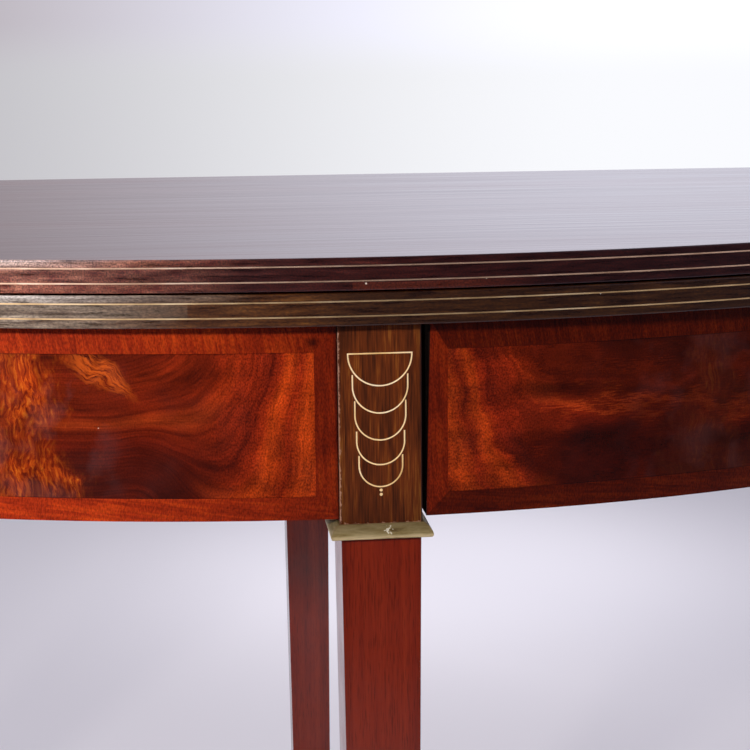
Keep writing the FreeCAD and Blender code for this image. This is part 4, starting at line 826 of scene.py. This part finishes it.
def slotted_screw(shape, place, turn):
    """Flush slotted head and its shank, driven forward into the back edge of a leaf."""
    disc = bmesh.ops.create_circle(shape, cap_ends=True, segments=HEAD_SIDES, radius=SCREW_HEAD)["verts"]
    for edge in (-SLOT_WIDTH / 2, SLOT_WIDTH / 2):
        cells = {cell for v in disc for cell in (v, *v.link_edges, *v.link_faces)}
        split = bmesh.ops.bisect_plane(shape, geom=list(cells), plane_co=(edge, 0, 0), plane_no=(1, 0, 0))
        disc = [v for v in split["geom"] if isinstance(v, bmesh.types.BMVert)]
    cheeks = [f for f in {f for v in disc for f in v.link_faces}
              if abs(f.calc_center_median().x) > SLOT_WIDTH / 2]
    rim = [e for e in {e for v in disc for e in v.link_edges} if e.is_boundary]
    raised = bmesh.ops.extrude_face_region(shape, geom=cheeks)["geom"]
    raised = [v for v in raised if isinstance(v, bmesh.types.BMVert)]
    bmesh.ops.translate(shape, verts=raised, vec=(0, 0, SLOT_DEPTH))
    made = set(disc) | set(raised)
    width = SCREW_HEAD
    for radius, drop in ((SCREW_HEAD, HEAD_HEIGHT - SLOT_DEPTH), (SCREW_SHANK, 0.0),
                         (SCREW_SHANK, SHANK_LENGTH), (SCREW_TIP, POINT_LENGTH)):
        ring = bmesh.ops.extrude_edge_only(shape, edges=rim)["geom"]
        rim = [e for e in ring if isinstance(e, bmesh.types.BMEdge)]
        ring = [v for v in ring if isinstance(v, bmesh.types.BMVert)]
        bmesh.ops.scale(shape, verts=ring, vec=(radius / width, radius / width, 1))
        bmesh.ops.translate(shape, verts=ring, vec=(0, 0, -drop))
        made |= set(ring)
        width = radius
    bmesh.ops.contextual_create(shape, geom=rim)
    seat = Matrix.Translation(place) @ Matrix.Rotation(-math.pi / 2, 4, "X")
    seat = seat @ Matrix.Rotation(turn, 4, "Z") @ Matrix.Translation((0, 0, -SLOT_DEPTH))
    bmesh.ops.transform(shape, matrix=seat, verts=list(made))


for leaf, body in (("lower_leaf", "frame"), ("upper_leaf", "upper_leaf")):
    low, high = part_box(leaf + "_hinge_screws")
    shape = bmesh.new()
    places = [(side * HINGE_X + step * SCREW_STEP, high.y, (low.z + high.z) / 2)
              for side in (-1, 1) for step in (-1, 0, 1)]
    for order, place in enumerate(places):
        slotted_screw(shape, place, order * SLOT_TURN)
    bmesh.ops.recalc_face_normals(shape, faces=shape.faces[:])
    mesh = bpy.data.meshes.new(leaf + "_slotted_screws")
    shape.to_mesh(mesh)
    shape.free()
    mesh.materials.append(screw_steel)
    screws = bpy.data.objects.new(leaf + "_slotted_screws", mesh)
    bpy.context.scene.collection.objects.link(screws)
    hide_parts(leaf + "_hinge_screws")
    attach(screws, body)


# Studio: a pale paper floor that ends in front of the table, a pale backdrop that brightens to the
# right, and five lamps.  Its sizes are in metres.

PAPER_SHADE = "#E6E4E9"
STUDIO_SHADE = "#767478"
PAPER_FRONT = -1.05
PAPER_FADE = 0.7
FLOOR_RADIUS = 12.0
FLOOR_SIDES = 96

floor_paper, add = new_finish("studio_floor_paper")
depth = add("SeparateXYZ", {0: add("TexCoord", out="Object")}, "Y")
paper = add("MapRange", {0: depth, 1: PAPER_FRONT - PAPER_FADE, 2: PAPER_FRONT}, **EASED)
colour = add("Mix", {0: paper, 6: linear(STUDIO_SHADE), 7: linear(PAPER_SHADE)}, 2, **COVER)
close_finish(add, {"Base Color": colour, "Roughness": 0.9, "Specular IOR Level": 0.1})

mesh = bpy.data.meshes.new("studio_floor")
shape = bmesh.new()
bmesh.ops.create_circle(shape, cap_ends=True, segments=FLOOR_SIDES, radius=FLOOR_RADIUS)
shape.to_mesh(mesh)
shape.free()
mesh.materials.append(floor_paper)
floor = bpy.data.objects.new("studio_floor", mesh)
bpy.context.scene.collection.objects.link(floor)

# The backdrop's shades: low and high on its left and right, and the dim room in front of the table.
WALL_SHADES = ("#BCBABF", "#FAFBFF")
HIGH_WALL_SHADES = ("#A29A9F", "#EFF0FF")
ROOM_SHADE = "#44424A"

world = bpy.data.worlds.new("studio_backdrop")
bpy.context.scene.world = world
world.use_nodes = True
world.node_tree.nodes.clear()
add = partial(add_node, world.node_tree)
way = add("TexCoord", out="Generated")
way_x, way_y, way_z = add("SeparateXYZ", {0: way}).node.outputs
sweep = add("MapRange", {0: way_x, 1: -0.24, 2: 0.275}, **EASED)
walls = [add("Mix", {0: sweep, 6: linear(left), 7: linear(right)}, 2, **COVER)
         for left, right in (WALL_SHADES, HIGH_WALL_SHADES)]
# Higher up the backdrop is lit by a cooler light, which the polished top gives back.
high = add("MapRange", {0: way_z, 1: 0.0, 2: 0.04}, **EASED)
wall = add("Mix", {0: high, 6: walls[0], 7: walls[1]}, 2, **COVER)
behind = add("MapRange", {0: way_y, 1: -0.4, 2: 0.7}, **EASED)
colour = add("Mix", {0: behind, 6: linear(ROOM_SHADE), 7: wall}, 2, **COVER)
strength = add("MapRange", {0: high, 3: 1.0, 4: 1.2})
shader = add("Background", {"Color": colour, "Strength": strength})
add("OutputWorld", {"Surface": shader})


def hang(name, kind, spot, target, power, shade):
    """Lamp at a spot, turned to its target and out of the camera's sight."""
    lamp = bpy.data.lights.new("lamp_" + name, kind)
    lamp.energy = power
    lamp.color = linear(shade)[:3]
    holder = bpy.data.objects.new("lamp_" + name, lamp)
    holder.location = spot
    holder.rotation_euler = (Vector(target) - Vector(spot)).to_track_quat("-Z", "Y").to_euler()
    holder.visible_camera = False
    bpy.context.scene.collection.objects.link(holder)
    return holder


# A small lamp in front on the left, a weak broad one on the right and a broad one high behind.
LAMPS = (
    ((0.35, 0.1), "key", "AREA", (-1.13, -1.42, 1.206), (-0.05, -0.25, 0.7), 29.0, "#FFF8F0"),
    ((1.8, 1.8), "fill", "AREA", (2.2, -2.2, 2.0), (0.1, -0.2, 0.6), 5.0, "#F4F4FF"),
    ((1.6, 1.6), "overhead", "AREA", (0.25, 1.25, 2.6), (0.25, 1.25, 0.0), 23.0, "#FAF8FF"),
)
for size, *hanging in LAMPS:
    lamp = hang(*hanging).data
    lamp.shape = "RECTANGLE"
    lamp.size, lamp.size_y = size

# One soft spot makes the pool of light on the floor behind the table.  A low one reaches under the
# apron to the swing leg, and gloss doesn't show it, so that it leaves no white patch in the polish.
SPOTS = (
    (32.0, 0.3, True, "pool", "SPOT", (0.36, 1.7, 2.5), (0.36, 1.7, 0.0), 112.0, "#FCFBFF"),
    (6.0, 0.03, False, "low", "SPOT", (-0.75, -1.5, 0.28), (-0.03, 0.27, 0.485), 32.0, "#FFF8F4"),
)
for cone, softness, in_gloss, *hanging in SPOTS:
    holder = hang(*hanging)
    holder.visible_glossy = in_gloss
    holder.data.spot_size = math.radians(cone)
    holder.data.spot_blend = 1.0
    holder.data.shadow_soft_size = softness

# Camera: close in front and just above the top, looking a little down and to the right.
EYE = Vector((-0.0779, -0.9577, 0.8259))
PITCH = math.radians(10.321)
YAW = math.radians(6.501)
ROLL = math.radians(-0.616)
LENS = 77.40
SENSOR = 36.0
ahead = Vector((math.sin(YAW) * math.cos(PITCH), math.cos(YAW) * math.cos(PITCH), -math.sin(PITCH)))
level = Vector((math.cos(YAW), -math.sin(YAW), 0.0))
upward = level.cross(ahead)
across_view = math.cos(ROLL) * level + math.sin(ROLL) * upward
up_view = -math.sin(ROLL) * level + math.cos(ROLL) * upward
camera = bpy.data.objects.new("camera", bpy.data.cameras.new("camera"))
camera.data.sensor_width = SENSOR
camera.data.lens = LENS
camera.data.clip_start = 0.01
turned = Matrix((across_view, up_view, -ahead)).transposed().to_4x4()
camera.matrix_world = Matrix.Translation(EYE) @ turned
bpy.context.scene.collection.objects.link(camera)
bpy.context.scene.camera = camera
bpy.context.scene.view_settings.view_transform = "Standard"
